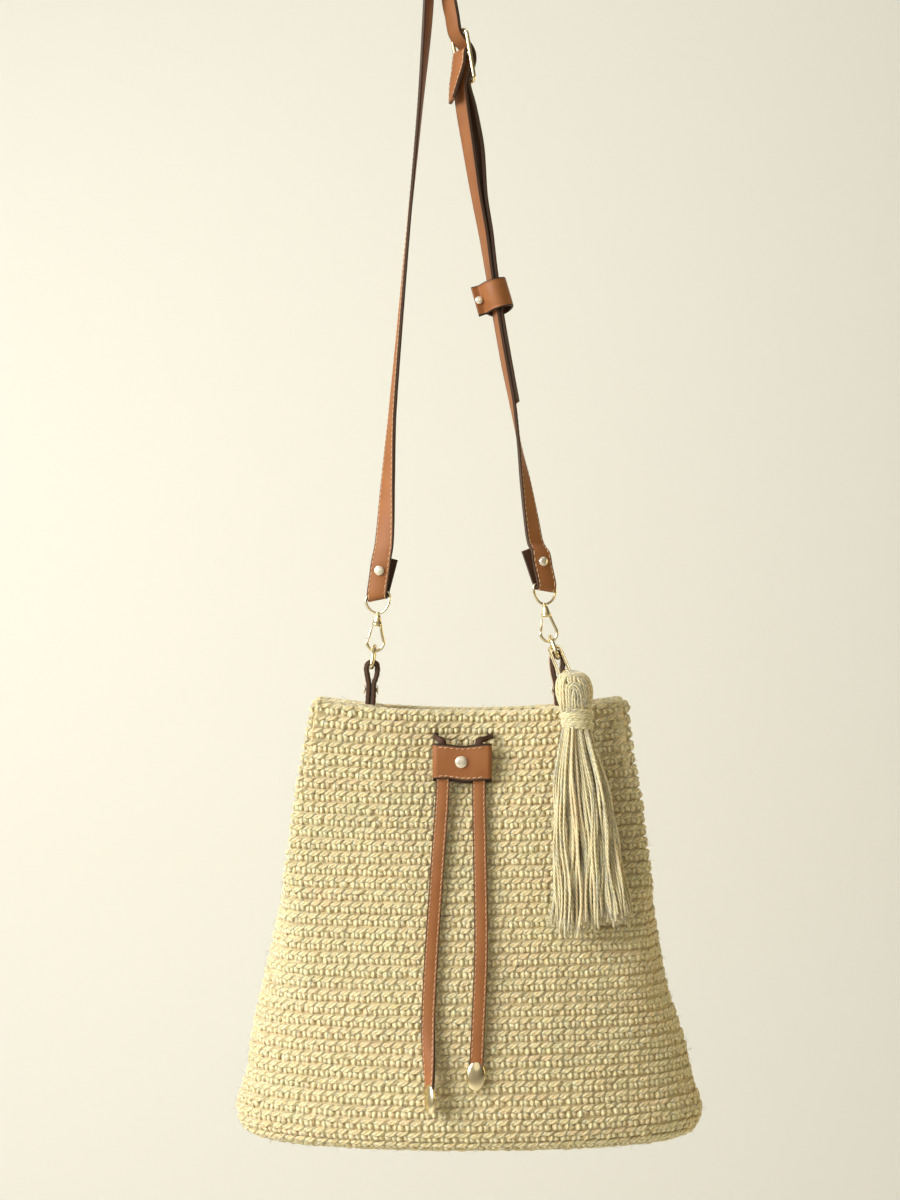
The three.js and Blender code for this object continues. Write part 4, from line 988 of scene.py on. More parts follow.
# The lace's threads lie this far out from its middle
LACE_THREAD = 1.02
left_rows, right_rows = tail_rows(LEFT_TAIL), tail_rows(RIGHT_TAIL)
left_hole_rows = hole_rows(SLIDER.left_lace_x, LACE_HOLE.left)
right_hole_rows = hole_rows(SLIDER.right_lace_x, LACE_HOLE.right)
lace_rows = left_rows[::-1] + left_hole_rows + turned_over(right_hole_rows[::-1]) + turned_over(right_rows)
lace_stations = strip_stations(lace_rows, LACE_STEPS)
first_cut = (len(left_rows) - 1) * LACE_STEPS
second_cut = (len(lace_rows) - len(right_rows)) * LACE_STEPS
slices = {
    "lace_left_tail": slice(0, first_cut + 1),
    "lace_inner": slice(first_cut, second_cut + 1),
    "lace_right_tail": slice(second_cut, None),
}
thread_parts = []
for name, part_slice in slices.items():
    stations = tuple(values[part_slice] for values in lace_stations)
    inside = name == "lace_inner"
    row_numbers = np.arange(len(stations[0])) / LACE_STEPS
    gathered = np.interp(row_numbers, range(len(LACE_GATHER)), LACE_GATHER) if inside else 1.0
    # The inner stretch, whose ears show between the slider and the holes, gets painted shade on both faces
    # and edge paint spread wide over them, which stands for shade too
    dark = 1.0 if inside else 0.0
    strip = leather_strip(
        stations, LACE.width, LACE.thickness, LACE.groove, painted_shades=(dark, dark),
        paint=1.6 if inside else 0.06, narrow=gathered,
    )
    leather_piece(name, strip, "drawstring_lace")
    if not inside:
        thread_parts += threads(stations, both_faces(LACE.groove, LACE_THREAD), margin=5.0)


def lace_tip(name, end, node):
    """An oval metal tip over the end of the lace, which sits in a pocket."""
    path, across, _ = lace_stations
    side = across[end]
    down = unit(path[end] - path[1 if end == 0 else -2])
    out = np.cross(-down, side)
    centre = path[end] + down * (LACE_TIP.half_height - LACE_TIP.bite + GAP)
    rounds = 29
    polar = np.linspace(-0.497, 0.497, rounds)[:, None, None] * np.pi
    angle = np.linspace(0, 2 * np.pi, 40, endpoint=False)[:, None]
    oval = np.cos(angle) * side * LACE_TIP.half_width + np.sin(angle) * out * LACE_TIP.half_thick
    rings = centre + np.sin(polar) * down * LACE_TIP.half_height + np.cos(polar) * oval
    tip = metal_piece(name, [swept(rings[None], np.arange(float(rounds))[None])], node)
    pocket = vec(LACE.width + 1, LACE.thickness + 2.5 * GAP, 2 * LACE_TIP.bite)
    cut_boxes(tip, [(centre - down * LACE_TIP.half_height, pocket, (side, out, down))])
    return tip


left_tip = lace_tip("left_lace_tip", 0, "lace_left_tip")
right_tip = lace_tip("right_lace_tip", -1, "lace_right_tip")
slider_foot = SLIDER.z - SLIDER.height / 2
for name, tip, tail in (("lace_left_tail", left_tip, LEFT_TAIL), ("lace_right_tail", right_tip, RIGHT_TAIL)):
    line = lace_stations[0][slices[name]]
    line = line[::-1] if name == "lace_left_tail" else line
    leave = vec(tail[1][0], SLIDER.y, slider_foot)
    float(lengths_along(line)[-1] * MM)


def slider_droop(points):
    """Moves points of the slider: its upper edge is drawn down in the middle, and its lower edge is wavy."""
    x = points[:, 0] - SLIDER.x
    t = (points[:, 2] - SLIDER.z) / (SLIDER.height / 2)
    front = points[:, 1] < SLIDER.y
    upper = 0.5 - 1.9 * bell(x, 0, 12)
    lower = 0.5 * bell(x, -12, 5) - 1.3 * bell(x, 3, 8) - 0.4 * (x / 20) - np.where(front, 0, 2.0)
    rise = np.clip(t, 0, 1) * upper + np.clip(-t, 0, 1) * lower
    dimple = 0.7 * bell(points[:, 0], SLIDER.rivet_x, 5.5) * bell(t, 0, 0.5)
    swell = 0.5 * bell(np.abs(x), 12.5, 5) * (1 - t * t)
    inward = np.where(front, 1, -1) * (dimple - swell)
    return points + rise[:, None] * UP + inward[:, None] * BACK


def slider_piece():
    """A leather band round both laces; gives the threads of its sewn edges."""
    round_end = LACE.thickness / 2 + 1.5 * GAP + SLIDER.leather / 2
    half = SLIDER.width / 2 - round_end - SLIDER.leather / 2
    steps = 40
    front = np.column_stack([np.linspace(-half, half, steps), np.full(steps, -round_end)])
    right = np.array(arc(half, 0, round_end, round_end, np.linspace(-80, 80, 9)))
    loop = np.vstack([front, right, -front, -right])
    path = np.column_stack([loop, np.zeros(len(loop))]) + vec(SLIDER.x, SLIDER.y, SLIDER.z)
    ahead = unit(np.roll(path, -1, axis=0) - np.roll(path, 1, axis=0))
    across = np.broadcast_to(UP, path.shape)
    stations = (path, across, np.cross(ahead, across))
    groove = SLIDER.height / 2 - 2.2
    # The inner faces of the loop get painted shade, and the far leaf's lower edge hangs lower, so a strip of
    # it shows under the near leaf as painted shadow. The edge paint reaches 0.8 mm over the faces: real edge
    # paint, and along the lower edge partly painted shadow
    band = leather_strip(
        stations, SLIDER.height, SLIDER.leather, groove, closed=True, painted_shades=(1.0, 0.0), paint=0.8,
    )
    face = SLIDER.leather / 2 + 0.04
    front_stations = tuple(values[:steps] for values in stations)
    sewn = threads(front_stations, [(-groove, face), (groove, face)], margin=1.0)
    for part in [band] + sewn:
        part["points"] = slider_droop(part["points"])
    leather_piece("slider_loop", band, "slider_band")
    return sewn


thread_parts += slider_piece()


# Straps

def front_of(end):
    """The level direction that the front leaf of a folded strap end faces."""
    across = level_at(end.turn)
    return across if across[1] < 0 else -across


def fold_point(end, along_bar, to_front, up):
    """A place at a folded strap end: along the bar of its eye, to the front, and up."""
    middle = vec(end.bar_x, 0, end.bar_z + up + end.slope * along_bar)
    return middle + along_bar * width_at(end.turn) + to_front * front_of(end)


def fold_rows(end):
    """The folded end: the leaf at the back, round the bar, and up the front."""
    radius = FOLD.radius
    points = [
        fold_point(end, end.leaf_lean, -radius - 1, FOLD.leaf),
        fold_point(end, end.leaf_lean * 0.5, -radius - 0.2, FOLD.leaf / 2),
    ]
    for to_front, up in arc(0, 0, -radius, -radius, range(0, 181, 36)):
        points.append(fold_point(end, 0, to_front, up))
    for part in (0.5, 1):
        points.append(fold_point(end, end.lean * FOLD.front * part, radius, FOLD.front * part))
    side = width_at(end.turn) + vec(0, 0, end.slope)
    return [(point, side) for point in points]


def beside_rows(rows, way):
    """The doubled stretch: each strap lies beside the middle line, and they part towards the buckle."""
    return [(vec(x, 0, z) + way * apart * level_at(turn), width_at(turn)) for x, z, turn, apart in rows]


BUCKLE_BAR = width_at(BUCKLE.turn)
buckle_lean = math.radians(BUCKLE.lean)
buckle_level = level_at(BUCKLE.turn)
BUCKLE_ACROSS = buckle_level * math.cos(buckle_lean) + vec(0, 0, math.sin(buckle_lean))
BUCKLE_UP = buckle_level * -math.sin(buckle_lean) + vec(0, 0, math.cos(buckle_lean))


def buckle_point(across, up, along_bar=0.0):
    """A place at the buckle, from the middle of its bar."""
    return vec(BUCKLE.x, 0, BUCKLE.z) + along_bar * BUCKLE_BAR + across * BUCKLE_ACROSS + up * BUCKLE_UP


def buckle_rows(rows):
    """A strap at the buckle: rows of across, up and, where it twists, its turn."""
    made = []
    for across, up, *twist in rows:
        made.append((buckle_point(across, up), width_at(twist[0]) if twist else BUCKLE_BAR))
    return made


buckle_radius = BUCKLE.wire + GAP + STRAP.thickness / 2
buckle_fold = arc(0, 0, buckle_radius, buckle_radius, [180, 135, 90, 45, 0])
left_leg = [(vec(x, y, z), width_at(turn)) for x, y, z, turn in LEFT_LEG]
low_leg = [(vec(x, 0, z), width_at(turn)) for x, z, turn in RIGHT_LEG_LOW]
STRAP_ROWS = {
    "long": fold_rows(LEFT) + left_leg + buckle_rows(LONG_THROUGH_BUCKLE) + beside_rows(RIGHT_LEG, 1),
    "short": buckle_rows(BUCKLE_LEAF) + buckle_rows(buckle_fold) + buckle_rows(SHORT_BELOW_BUCKLE)
    + beside_rows(RIGHT_LEG, -1) + low_leg + fold_rows(RIGHT)[::-1],
}
STRAP_STEPS = 10
strap_places = [(s, 0.05 - STRAP.shown / 2) for s in (-STRAP.groove, STRAP.groove)]
for label, rows in STRAP_ROWS.items():
    stations = strip_stations(rows, STRAP_STEPS)
    # The inner face gets painted shade: light along the strap, and full where the end is folded in behind its
    # front leaf and, on the long strap, along the doubled stretch under the buckle
    row_numbers = np.arange(len(stations[0])) / STRAP_STEPS
    row_numbers = row_numbers if label == "long" else row_numbers[::-1]
    painted_inner_shade = np.interp(row_numbers, [4, 9, 27, 31], [1.0, 0.2, 0.2, 1.0 if label == "long" else 0.2])
    strip = leather_strip(stations, STRAP.width, STRAP.shown, STRAP.groove, painted_shades=(0.0, painted_inner_shade))
    leather_piece(label + "_strap_leather", strip, label + "_strap")
    thread_parts += threads(stations, strap_places)


# Rivets

def rivet_part(point, direction, grip, head=RIVET.head, back_dome=RIVET.dome):
    """A rivet with a low dome at its front and a head at its back."""
    under = grip / 2 + GAP

    def head_rows(dome):
        rim = dome * 0.35
        rows = [(RIVET.post, 0.0), (RIVET.post, under), (head * 0.94, under), (head, under + rim * 0.4)]
        rows += [(head, under + rim * 0.8), (head * 0.95, under + rim), (head * 0.90, under + rim * 0.9)]
        for angle in (12, 25, 40, 55, 70, 84):
            turn = math.radians(angle)
            rows.append((head * 0.88 * math.cos(turn) ** 0.7, under + rim + (dome - rim) * math.sin(turn)))
        return rows + [(0.05, under + dome)]

    profile = [(r, -z) for r, z in head_rows(back_dome)[::-1]] + head_rows(RIVET.dome)[1:]
    return turned(profile, point, direction, 32)


def strap_rivet(end):
    point = fold_point(end, end.lean * FOLD.rivet, 0, FOLD.rivet)
    grip = 2 * FOLD.radius + STRAP.thickness + 1.4
    return rivet_part(point, front_of(end), grip, RIVET.strap_head)


for end in (LEFT, RIGHT):
    name = end.side + "_strap_rivet"
    metal_piece(name + "_head", [strap_rivet(end)], name, PEARL)
slider_middle = vec(SLIDER.rivet_x, SLIDER.y, SLIDER.z)
slider_grip = LACE.thickness + 3 * GAP + 2 * SLIDER.leather
slider_pin = rivet_part(slider_middle, vec(0, -1, 0), slider_grip)
metal_piece("slider_rivet_head", [slider_pin], "slider_rivet", PEARL)


# Buckle and keeper

def buckle_piece():
    """The buckle: a wire frame with round corners, and the bar across it."""
    corner, sides = 4.0, 16
    half, top, bottom = BUCKLE.half_width, BUCKLE.top, BUCKLE.bottom
    loop = []
    for side, up, start in ((half - corner, top - corner, 0), (-half + corner, top - corner, 90),
                            (-half + corner, bottom + corner, 180), (half - corner, bottom + corner, 270)):
        for along_bar, height in arc(side, up, corner, corner, start + np.linspace(0, 90, 9)):
            loop.append(buckle_point(0, height, along_bar))
    frame_part = tubes(loop, BUCKLE.wire * 1.2, sides, closed=True, start=BUCKLE_ACROSS)
    bar = [buckle_point(0, 0, s) for s in np.linspace(-half, half, 9)]
    metal_piece("buckle_wire", [frame_part, tubes(bar, BUCKLE.wire * 0.98, sides)], "buckle_frame")


buckle_piece()


def keeper_pieces():
    """The keeper: a leather loop round both straps, closed by a rivet at its side."""
    turn = tilted(KEEPER.tilt)

    def place(x, y):
        return turn @ vec(x, y, 0) + vec(KEEPER.x, 0, KEEPER.z)

    side = turn @ UP
    leaf = KEEPER.leather / 2 + GAP / 2
    start = -KEEPER.half_x - KEEPER.flap
    closed = start + KEEPER.flap * 0.8
    points = [place(start, -leaf - KEEPER.splay), place(closed, -leaf)]
    points += [place(x, y) for x, y in arc(0, 0, KEEPER.half_x, KEEPER.half_y, range(205, 516, 31))]
    points += [place(closed, leaf), place(start, leaf + KEEPER.splay)]
    stations = strip_stations([(point, side) for point in points], 8)
    groove = KEEPER.width / 2 - 2.0
    # The inner faces of the loop get painted shade
    strip = leather_strip(stations, KEEPER.width, KEEPER.leather, groove, painted_shades=(1.0, 0.0), paint=0.5)
    # The lower edge of the far side sags, so that its inner face, painted in shade, shows under the near side
    # as painted shadow
    sag = 2.6
    spots = strip["points"]
    low = np.clip((KEEPER.z - spots[:, 2]) / KEEPER.width * 2, 0, 1)
    deep = np.clip(spots[:, 1] / KEEPER.half_y, 0, 1)
    strip["points"] = spots - (sag * low * deep)[:, None] * side
    leather_piece("keeper_loop", strip, "strap_keeper")
    pin_place = place(start + KEEPER.flap * 0.42, 0)
    pin = rivet_part(pin_place, vec(0, -1, 0), 2 * KEEPER.leather + 5 * GAP, RIVET.small_head)
    metal_piece("keeper_rivet_head", [pin], "keeper_rivet", PEARL)


keeper_pieces()


# Hooks, rings and tabs

def d_loop(half_width, depth):
    """A D-shaped loop: a straight bar with round corners at the top, and a round bottom."""
    corner = 3.0
    loop = []
    for x, start in ((half_width - corner, 0), (-half_width + corner, 90)):
        loop += arc(x, -corner, corner, corner, start + np.linspace(0, 90, 6))
    return loop + arc(0, -corner, half_width, depth - corner, np.arange(187.5, 359, 7.5))


def hook_place(end):
    """The top of a hook, its turn, and a function that places local points."""
    top = vec(end.bar_x, 0, end.bar_z - EYE.depth - EYE.wire - GAP)
    turn = tilted(-end.tilt)

    def place(x, y, z):
        return turn @ vec(x, y, z) + top

    return top, turn, place


def pear_half(z):
    """Half of the hook's width at a height, narrow at its neck and wide below."""
    t = (-z - HOOK.collar) / (HOOK.length - HOOK.collar - HOOK.half_width)
    return HOOK.neck + (HOOK.half_width - HOOK.neck) * min(max(t, 0), 1)


# The eye's post and the gate's pin: rows of a radius and a height
EYE_POST = [
    (0.3, -4.4), (1.7, -4.2), (2.0, -3.6), (1.9, -2.9), (1.2, -2.4), (1.2, 0.4), (1.7, 0.9), (1.9, 1.6),
    (1.5, 2.2), (0.4, 2.6),
]
GATE_PIN = [(0.05, -1.15), (0.45, -1.1), (0.55, -0.95), (0.55, 0.95), (0.45, 1.1), (0.05, 1.15)]


def eye_piece(end):
    """The eye in a strap end, with the post that its hook swivels on."""
    bar = width_at(end.turn)
    middle = vec(end.bar_x, 0, end.bar_z)
    loop = []
    for s, up in d_loop(EYE.half_width, EYE.depth):
        loop.append(middle + s * bar + vec(0, 0, up + end.slope * s * (1 + up / EYE.depth)))
    top, turn, _ = hook_place(end)
    post = turned(EYE_POST, top, turn @ UP, 24)
    ring = tubes(loop, EYE.wire * 0.88, WIRE_SIDES, closed=True, start=np.cross(bar, UP))
    name = end.side + "_hook_eye"
    metal_piece(name + "_wire", [ring, post], name)


def hook_piece(end):
    """A hook with its collar, and its gate on a pin, each on a body of its own."""
    top, turn, place = hook_place(end)
    deep, wide = HOOK.collar, HOOK.collar_radius
    collar_rows = [
        (0.3, -deep - 1.4), (2.4, -deep - 1.3), (3.2, -deep - 1.0), (wide - 0.2, -deep - 0.4), (wide, -deep),
        (wide - 0.05, -deep + 0.8), (wide - 0.4, -deep + 1.1), (3.0, -4.0), (2.5, -2.0), (2.2, -0.5),
        (2.0, -0.1), (1.7, 0.0), (1.65, -1.6),
    ]
    collar = turned(collar_rows, top, turn @ UP)
    half = HOOK.half_width
    bend_z = -HOOK.length + half
    points = [(2.8, -deep + 0.2), (3.1, -deep - 2), (pear_half(bend_z + half), bend_z + half)]
    points += arc(0, bend_z, half, half, np.arange(0, -181, -22.5))
    points.append((-pear_half(GATE.bottom - 1.4), GATE.bottom - GATE.wire - GAP))
    path = smooth_line([place(x, 0, z) for x, z in points], 6)
    wire = tubes(path, HOOK.wire, WIRE_SIDES, start=BACK)
    name = end.side + "_hook"
    metal_piece(name + "_metal", [collar, wire], name, body=name + "_body")
    pivot = place(GATE.x, 0, GATE.top - GATE.wire)
    tip = place(-pear_half(GATE.bottom), 0, GATE.bottom)
    length = np.linalg.norm(tip - pivot)
    cap = arc(0, 0, GATE.wire, GATE.wire, [-85, -60, -30, 0])
    stick = turned(cap + [(r, length - h) for r, h in cap[::-1]], pivot, tip - pivot, 16)
    pin = turned(GATE_PIN, pivot, BACK, 14)
    gate = end.side + "_gate"
    metal_piece(gate + "_metal", [stick, pin], gate, body=gate + "_body")


def ring_bar(end):
    """The middle of the bar of a tab's ring."""
    _, _, place = hook_place(end)
    bottom = place(0, 0, -HOOK.length)
    return vec(end.ring_x, 0, bottom[2] + HOOK.play - RING.depth)


def ring_rise(end):
    """Direction in which the ring rises from its bar to the bottom of the hook."""
    _, _, place = hook_place(end)
    return vec((place(0, 0, -HOOK.length)[0] - end.ring_x) / RING.depth, 0, 1)


def tab_rows(end):
    """A tab folded over its ring: its leaves part under the ring, meet at the rivet and hang down."""
    bar = ring_bar(end)
    radius = RING.wire + 2 * GAP + TAB.thickness / 2
    closed = TAB.thickness / 2 + GAP / 2
    from_wall = end.outward * (LACE.ridge + 4 * GAP + TAB.thickness + GAP / 2)
    hung = []
    for z in (TAB.bottom_z, TAB.rim_z):
        section = body_section(z - BASE_Z)
        side_x = CENTRE_X + section[0 if end.outward > 0 else FINE // 2, 0]
        hung.append((side_x + from_wall - bar[0], z))
    rim_x = hung[1][0]
    leaf = [(x, closed, z) for x, z in hung] + [
        (rim_x * 0.5, closed, TAB.rivet_z),
        (rim_x * 0.4, closed, TAB.rivet_z + RIVET.strap_head + 0.8),
        (0, TAB.spread, (TAB.rivet_z + RIVET.strap_head + bar[2]) / 2),
        (0, radius, bar[2]),
    ]
    arch = [(0, away, z) for away, z in arc(0, bar[2], radius, radius, [45, 90, 135])]
    other = [(x, -away, z) for x, away, z in leaf[::-1]]
    return [(vec(bar[0] + x + away, 0, z), BACK) for x, away, z in leaf + arch + other]


def ring_and_tab(end):
    """A ring, the tab folded over it and the tab's rivet; gives the threads of the tab."""
    rise = ring_rise(end)
    loop = [ring_bar(end) - up * rise + vec(0, y, 0) for y, up in d_loop(RING.half_width, RING.depth)]
    ring = tubes(loop, RING.wire, WIRE_SIDES, closed=True, start=vec(1, 0, -rise[0]))
    name = end.side + "_tab"
    metal_piece(name + "_ring_wire", [ring], name + "_ring")
    rows = tab_rows(end)
    stations = strip_stations(rows, 8)
    groove = TAB.width / 2 - 1.8
    # Painted shade: full on the inner faces of the folded tab and light on its outer faces
    folded = leather_strip(stations, TAB.width, TAB.thickness, groove, painted_shades=(0.2, 1.0))
    leather_piece(name + "_leather", folded, name)
    middles = [rows[i][0] + rows[len(rows) - 1 - i][0] for i in (1, 2, 3)]
    slope = unit(middles[2] - middles[0])
    outwards = end.outward * vec(slope[2], 0, -slope[0])
    grip = 2 * TAB.thickness + 4 * GAP
    pin = rivet_part(middles[1] / 2, outwards, grip, RIVET.strap_head, RIVET.flat_back)
    metal_piece(name + "_rivet_head", [pin], name + "_rivet", PEARL)
    return threads(stations, both_faces(groove, TAB.thickness / 2 + 0.02), margin=4.0)


for end in (LEFT, RIGHT):
    eye_piece(end)
    hook_piece(end)
    thread_parts += ring_and_tab(end)
make_piece("leather_thread", thread_parts, THREAD)


# Tassel

clamp_top = ring_bar(RIGHT) + ring_rise(RIGHT) * RING.depth * 0.3 - vec(0, RING.half_width, 0)
tassel_ring_top = vec(TASSEL_RING.x, TASSEL_RING.y, TASSEL_RING.top_z)
clasp_axis = unit(tassel_ring_top - clamp_top)
clasp_across = unit(vec(1, 0, 0) - clasp_axis * clasp_axis[0])
clasp_normal = np.cross(clasp_axis, clasp_across)
clasp_half = np.linalg.norm(tassel_ring_top - clamp_top) / 2 + CLASP.wire
clasp_half += 2 * (RING.wire + 2 * GAP)


def clasp_piece():
    """The clasp: an oval wire loop that holds the tassel's ring to the tab's ring."""
    middle = (clamp_top + tassel_ring_top) / 2
    half = CLASP.half_width
    straight = clasp_half - half
    loop = []
    for start, end in ((0, straight), (180, -straight)):
        for across, along in arc(0, end, half, half, start + np.linspace(0, 180, 17)):
            loop.append(middle + clasp_axis * along + clasp_across * across)
    wire = tubes(loop, CLASP.wire * 1.15, WIRE_SIDES, closed=True, start=clasp_normal)
    metal_piece("tassel_clasp_wire", [wire], "tassel_clasp")


def tassel_ring_piece():
    axis = unit(vec(0.12, -0.62, -0.78))
    tangent = clasp_normal + 0.8 * clasp_across
    tangent = unit(tangent - axis * np.dot(tangent, axis))
    centre = tassel_ring_top + axis * TASSEL_RING.radius
    angle = np.linspace(0, 2 * np.pi, 40, endpoint=False)[:, None]
    loop = centre + TASSEL_RING.radius * (np.cos(angle) * axis + np.sin(angle) * tangent)
    wire = tubes(loop, TASSEL_RING.wire, WIRE_SIDES, closed=True, start=np.cross(axis, tangent))
    metal_piece("tassel_ring_wire", [wire], "tassel_ring")


clasp_piece()
tassel_ring_piece()

# The head's outline: depth under its top, and radius
HEAD = np.array([
    [0, 3.2], [1.5, 8.4], [5.5, 12.1], [10, 13.6], [15, 13.9], [20, 13.1], [25, 11.7], [29, 10.9],
], float)
HEAD_TALL = HEAD[-1, 0]


def head_radius(down):
    return np.interp(down, HEAD[:, 0], HEAD[:, 1])


def tassel_axis(down):
    """Points of the tassel's middle line, this far under its top."""
    lean = (SKIRT[0, 1] - TASSEL.top_x) / (TASSEL.top_z - SKIRT[0, 0])
    x, y = TASSEL.top_x + lean * down, np.full_like(down, SKIRT[0, 2])
    return np.stack([x, y, TASSEL.top_z - down], axis=-1)


def round_tassel(angle):
    """Directions round the tassel, which is flatter from front to back."""
    return np.stack([np.cos(angle), TASSEL.flatten * np.sin(angle), 0 * angle], axis=-1)


def head_strands():
    """Yarn of the head: strands all round it in layers, and nested arches in front, folded over the ring."""
    parts = []
    stations = 12
    down = np.linspace(0, HEAD_TALL, stations)
    for layer, count in ((1.0, 26), (0.82, 20), (0.6, 14)):
        angle = 2 * np.pi * (np.arange(count) + rng.random(count) * 0.5) / count
        drift = 0.25 * np.sin(down / HEAD_TALL * np.pi)
        swirl = angle[:, None] + drift + rng.normal(0, 0.03, (count, stations))
        radius = layer * head_radius(down) - 1.2
        lines = tassel_axis(down) + radius[:, None] * round_tassel(swirl)
        parts.append(tubes(lines, 1.25, YARN_SIDES, tint=rng.random(count)))
    turn = np.radians(np.linspace(0, 180, 15))
    # The arches: half-width, and depth of the top under the head's
    for half, top in ((1.2, 14.0), (3.0, 11.6), (4.9, 9.0), (6.7, 6.4), (8.6, 4.0), (10.3, 2.2)):
        uneven = rng.normal(0, 1, 4)
        top = top + 0.7 * uneven[0]
        at = top + (28.5 - top) * (1 - np.sin(turn)) ** 1.6
        sway = 0.5 * np.sin(2 * turn + 2 * uneven[1]) + 0.4 * uneven[2]
        aside = half * np.cos(turn) * (1 - 0.12 * (1 - np.sin(turn))) + sway
        depth = np.sqrt(np.maximum(head_radius(at) ** 2 - aside ** 2, 4.0)) - 0.5
        arch = tassel_axis(at) + np.stack([aside - 1.0, -TASSEL.flatten * depth, 0 * at], axis=-1)
        parts.append(tubes(arch, 1.05 + 0.1 * uneven[3], 7, tint=rng.random(1)))
    core = tassel_axis(np.linspace(2, 40, 8))
    parts.append(tubes(core, np.array([4, 8, 9.5, 9.5, 8.5, 8, 8, 8.0]), 16, tint=np.array([0.5])))
    return parts


def wound_band():
    """The yarn wound round the neck, a little uneven."""
    winds = 8
    angle = np.linspace(0, 2 * np.pi * winds, winds * 26)
    down = np.linspace(26.5, 41, len(angle)) + 0.7 * np.sin(angle + 0.6)
    radius = 10.7 + 0.4 * np.sin(angle * 0.37)
    return tubes(tassel_axis(down) + radius[:, None] * round_tassel(angle), 1.2, 7, tint=np.array([0.2]))


def skirt_strands():
    """Yarns of the skirt in locks, which sway and end unevenly, with fluffed fibres at their ends."""
    count, stations, locks = 200, 22, 34
    top = -586
    lock = np.arange(count) % locks
    reach = np.sqrt((np.arange(locks) + 0.5) / locks)
    angle = np.arange(locks) * 2.4
    s = reach[lock] * np.cos(angle[lock]) + rng.normal(0, 0.07, count)
    t = reach[lock] * np.sin(angle[lock]) + rng.normal(0, 0.10, count)
    end = SKIRT[-1, 0] + 7.5 + rng.normal(0, 3.2, count) + 4 * np.sin(3 * s)
    wave = np.linspace(0, 1, stations)
    z = top + (end[:, None] - top) * wave
    rows = np.stack([[row_at(SKIRT[::-1], value) for value in line] for line in z])
    phase = rng.random((4, count, 1)) * 2 * np.pi
    lock_phase = rng.random((2, locks, 1))[:, lock] * 2 * np.pi
    sway_x = (2.4 * np.sin(wave * 6 + lock_phase[0]) + 0.9 * np.sin(wave * 15 + phase[1])) * np.sqrt(wave)
    sway_y = (1.6 * np.sin(wave * 7 + lock_phase[1]) + 0.7 * np.sin(wave * 15 + phase[3])) * np.sqrt(wave)
    x = rows[..., 1] + s[:, None] * rows[..., 3] + sway_x
    y = rows[..., 2] + t[:, None] * rows[..., 4] + sway_y
    paths = np.stack([x, y, z], axis=-1)
    tint = np.clip(rng.random(locks)[lock] + rng.normal(0, 0.2, count), 0, 1)
    parts = [tubes(paths, 0.82 + 0.34 * rng.random((count, 1)), 5, tint=tint)]
    # Fibres: some along the yarns, most at the ends
    fibres = 2600
    yarn = rng.integers(0, count, fibres)
    step = np.where(rng.random(fibres) < 0.6, stations - 2, rng.integers(1, stations - 3, fibres))
    start = paths[yarn, step] + rng.normal(0, 0.8, (fibres, 3))
    fall = unit(paths[yarn, step + 1] - paths[yarn, step]) * (4 + 5 * rng.random((fibres, 1)))
    spread = rng.normal(0, 1.3, (fibres, 3)) * vec(1, 0.7, 0.5)
    lines = np.stack([start, start + 0.5 * fall + 0.35 * spread, start + fall + spread], axis=1)
    parts.append(tubes(lines, FIBRE_RADIUS, FIBRE_SIDES, tint=tint[yarn]))
    return parts


tassel_parts = head_strands() + [wound_band()] + skirt_strands()
make_piece("tassel_yarn", tassel_parts, JUTE_TASSEL, nodes=["tassel"])


# Stage, light and camera

CREAM_PAPER = {"Base Color": (0.865, 0.845, 0.755, 1), "Roughness": 0.95, "Specular IOR Level": 0.1}


def backdrop():
    """A pale floor far below the bag, sweeping up into a wall well behind it."""
    floor_z, wall_y, bend = -2.1, 3.6, 0.9
    near_y, top_z, half_width = -6.0, 4.0, 7.0
    profile = [(near_y, floor_z), (wall_y - bend, floor_z)]
    profile += arc(wall_y - bend, floor_z + bend, bend, bend, np.linspace(-80, -10, 8))
    profile += [(wall_y, floor_z + bend), (wall_y, top_z)]
    points = [(x, y, z) for y, z in profile for x in (-half_width, half_width)]
    faces = [(2 * i, 2 * i + 1, 2 * i + 3, 2 * i + 2) for i in range(len(profile) - 1)]
    mesh = bpy.data.meshes.new("floor_and_wall")
    mesh.from_pydata(points, [], faces)
    mesh.shade_smooth()
    mesh.materials.append(new_material("cream_paper", CREAM_PAPER)[0])
    obj = add_object("floor_and_wall", mesh)


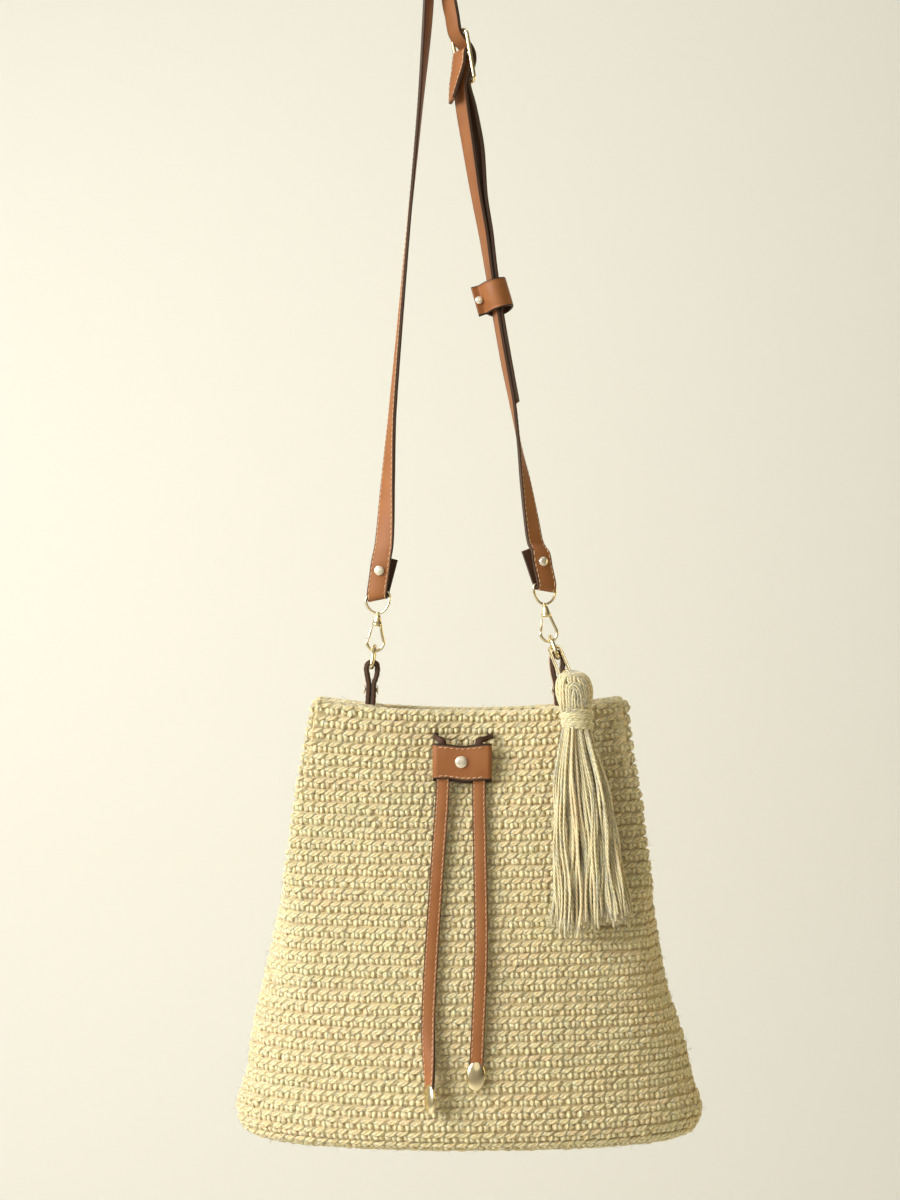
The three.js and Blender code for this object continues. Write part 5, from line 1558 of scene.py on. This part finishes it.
def area_light(name, place, aim, size, power, colour):
    """A round soft light at a place, turned to its aim."""
    light = bpy.data.lights.new(name, "AREA")
    light.shape = "DISK"
    light.size = size
    light.energy = power
    light.color = colour
    obj = add_object(name, light)
    obj.location = place
    direction = unit(np.array(aim) - np.array(place))
    yaw = math.atan2(-direction[0], direction[1])
    pitch = math.acos(max(-1, min(1, -direction[2])))
    obj.rotation_euler = (pitch, 0, yaw)


backdrop()
BAG_MIDDLE = (0.02, 0.0, -0.66)
# Each light: name, place, aim, size, power and colour
area_light("window_left", (-2.2, -1.4, 0.35), BAG_MIDDLE, 2.0, 124, (0.965, 0.985, 1.02))
area_light("warm_right", (1.7, 0.2, -0.5), BAG_MIDDLE, 1.0, 8, (1.0, 0.82, 0.38))
area_light("soft_front", (0.3, -2.7, 0.5), BAG_MIDDLE, 2.2, 7, (1.0, 0.95, 0.80))
area_light("wall_wash", (-2.4, 0.9, 0.1), (-1.0, 3.6, 0.0), 1.6, 29, (1.0, 0.99, 0.97))
area_light("wall_top", (0.6, 0.3, 2.2), (0.4, 3.6, 0.5), 1.6, 19, (1.0, 0.98, 0.95))


def room():
    """Soft light of the room: bright from the upper left, dim from the lower right."""
    world = bpy.data.worlds.new("cream_room")
    world.use_nodes = True
    tree = world.node_tree
    way = add_node(tree, "ShaderNodeTexCoord").outputs["Generated"]
    towards = {0: way, 1: (-0.78, -0.30, 0.55)}
    side = add_node(tree, "ShaderNodeVectorMath", towards, operation="DOT_PRODUCT").outputs["Value"]
    glow = blended(tree, ranged(tree, side, -0.5, 0.8), (0.13, 0.105, 0.055, 1), (1.0, 0.95, 0.83, 1))
    tree.links.new(glow, tree.nodes["Background"].inputs["Color"])
    tree.nodes["Background"].inputs["Strength"].default_value = 0.5
    bpy.context.scene.world = world


room()
bpy.context.scene.view_settings.view_transform = "Standard"

# The camera looks straight ahead, level with the middle of the photo
camera = add_object("photo_camera", bpy.data.cameras.new("photo_camera"))
camera.location = (0.0105, -1.4, -0.49875)
camera.rotation_euler = (math.radians(90), 0, 0)
camera.data.lens = 56
camera.data.sensor_width = 36
bpy.context.scene.camera = camera
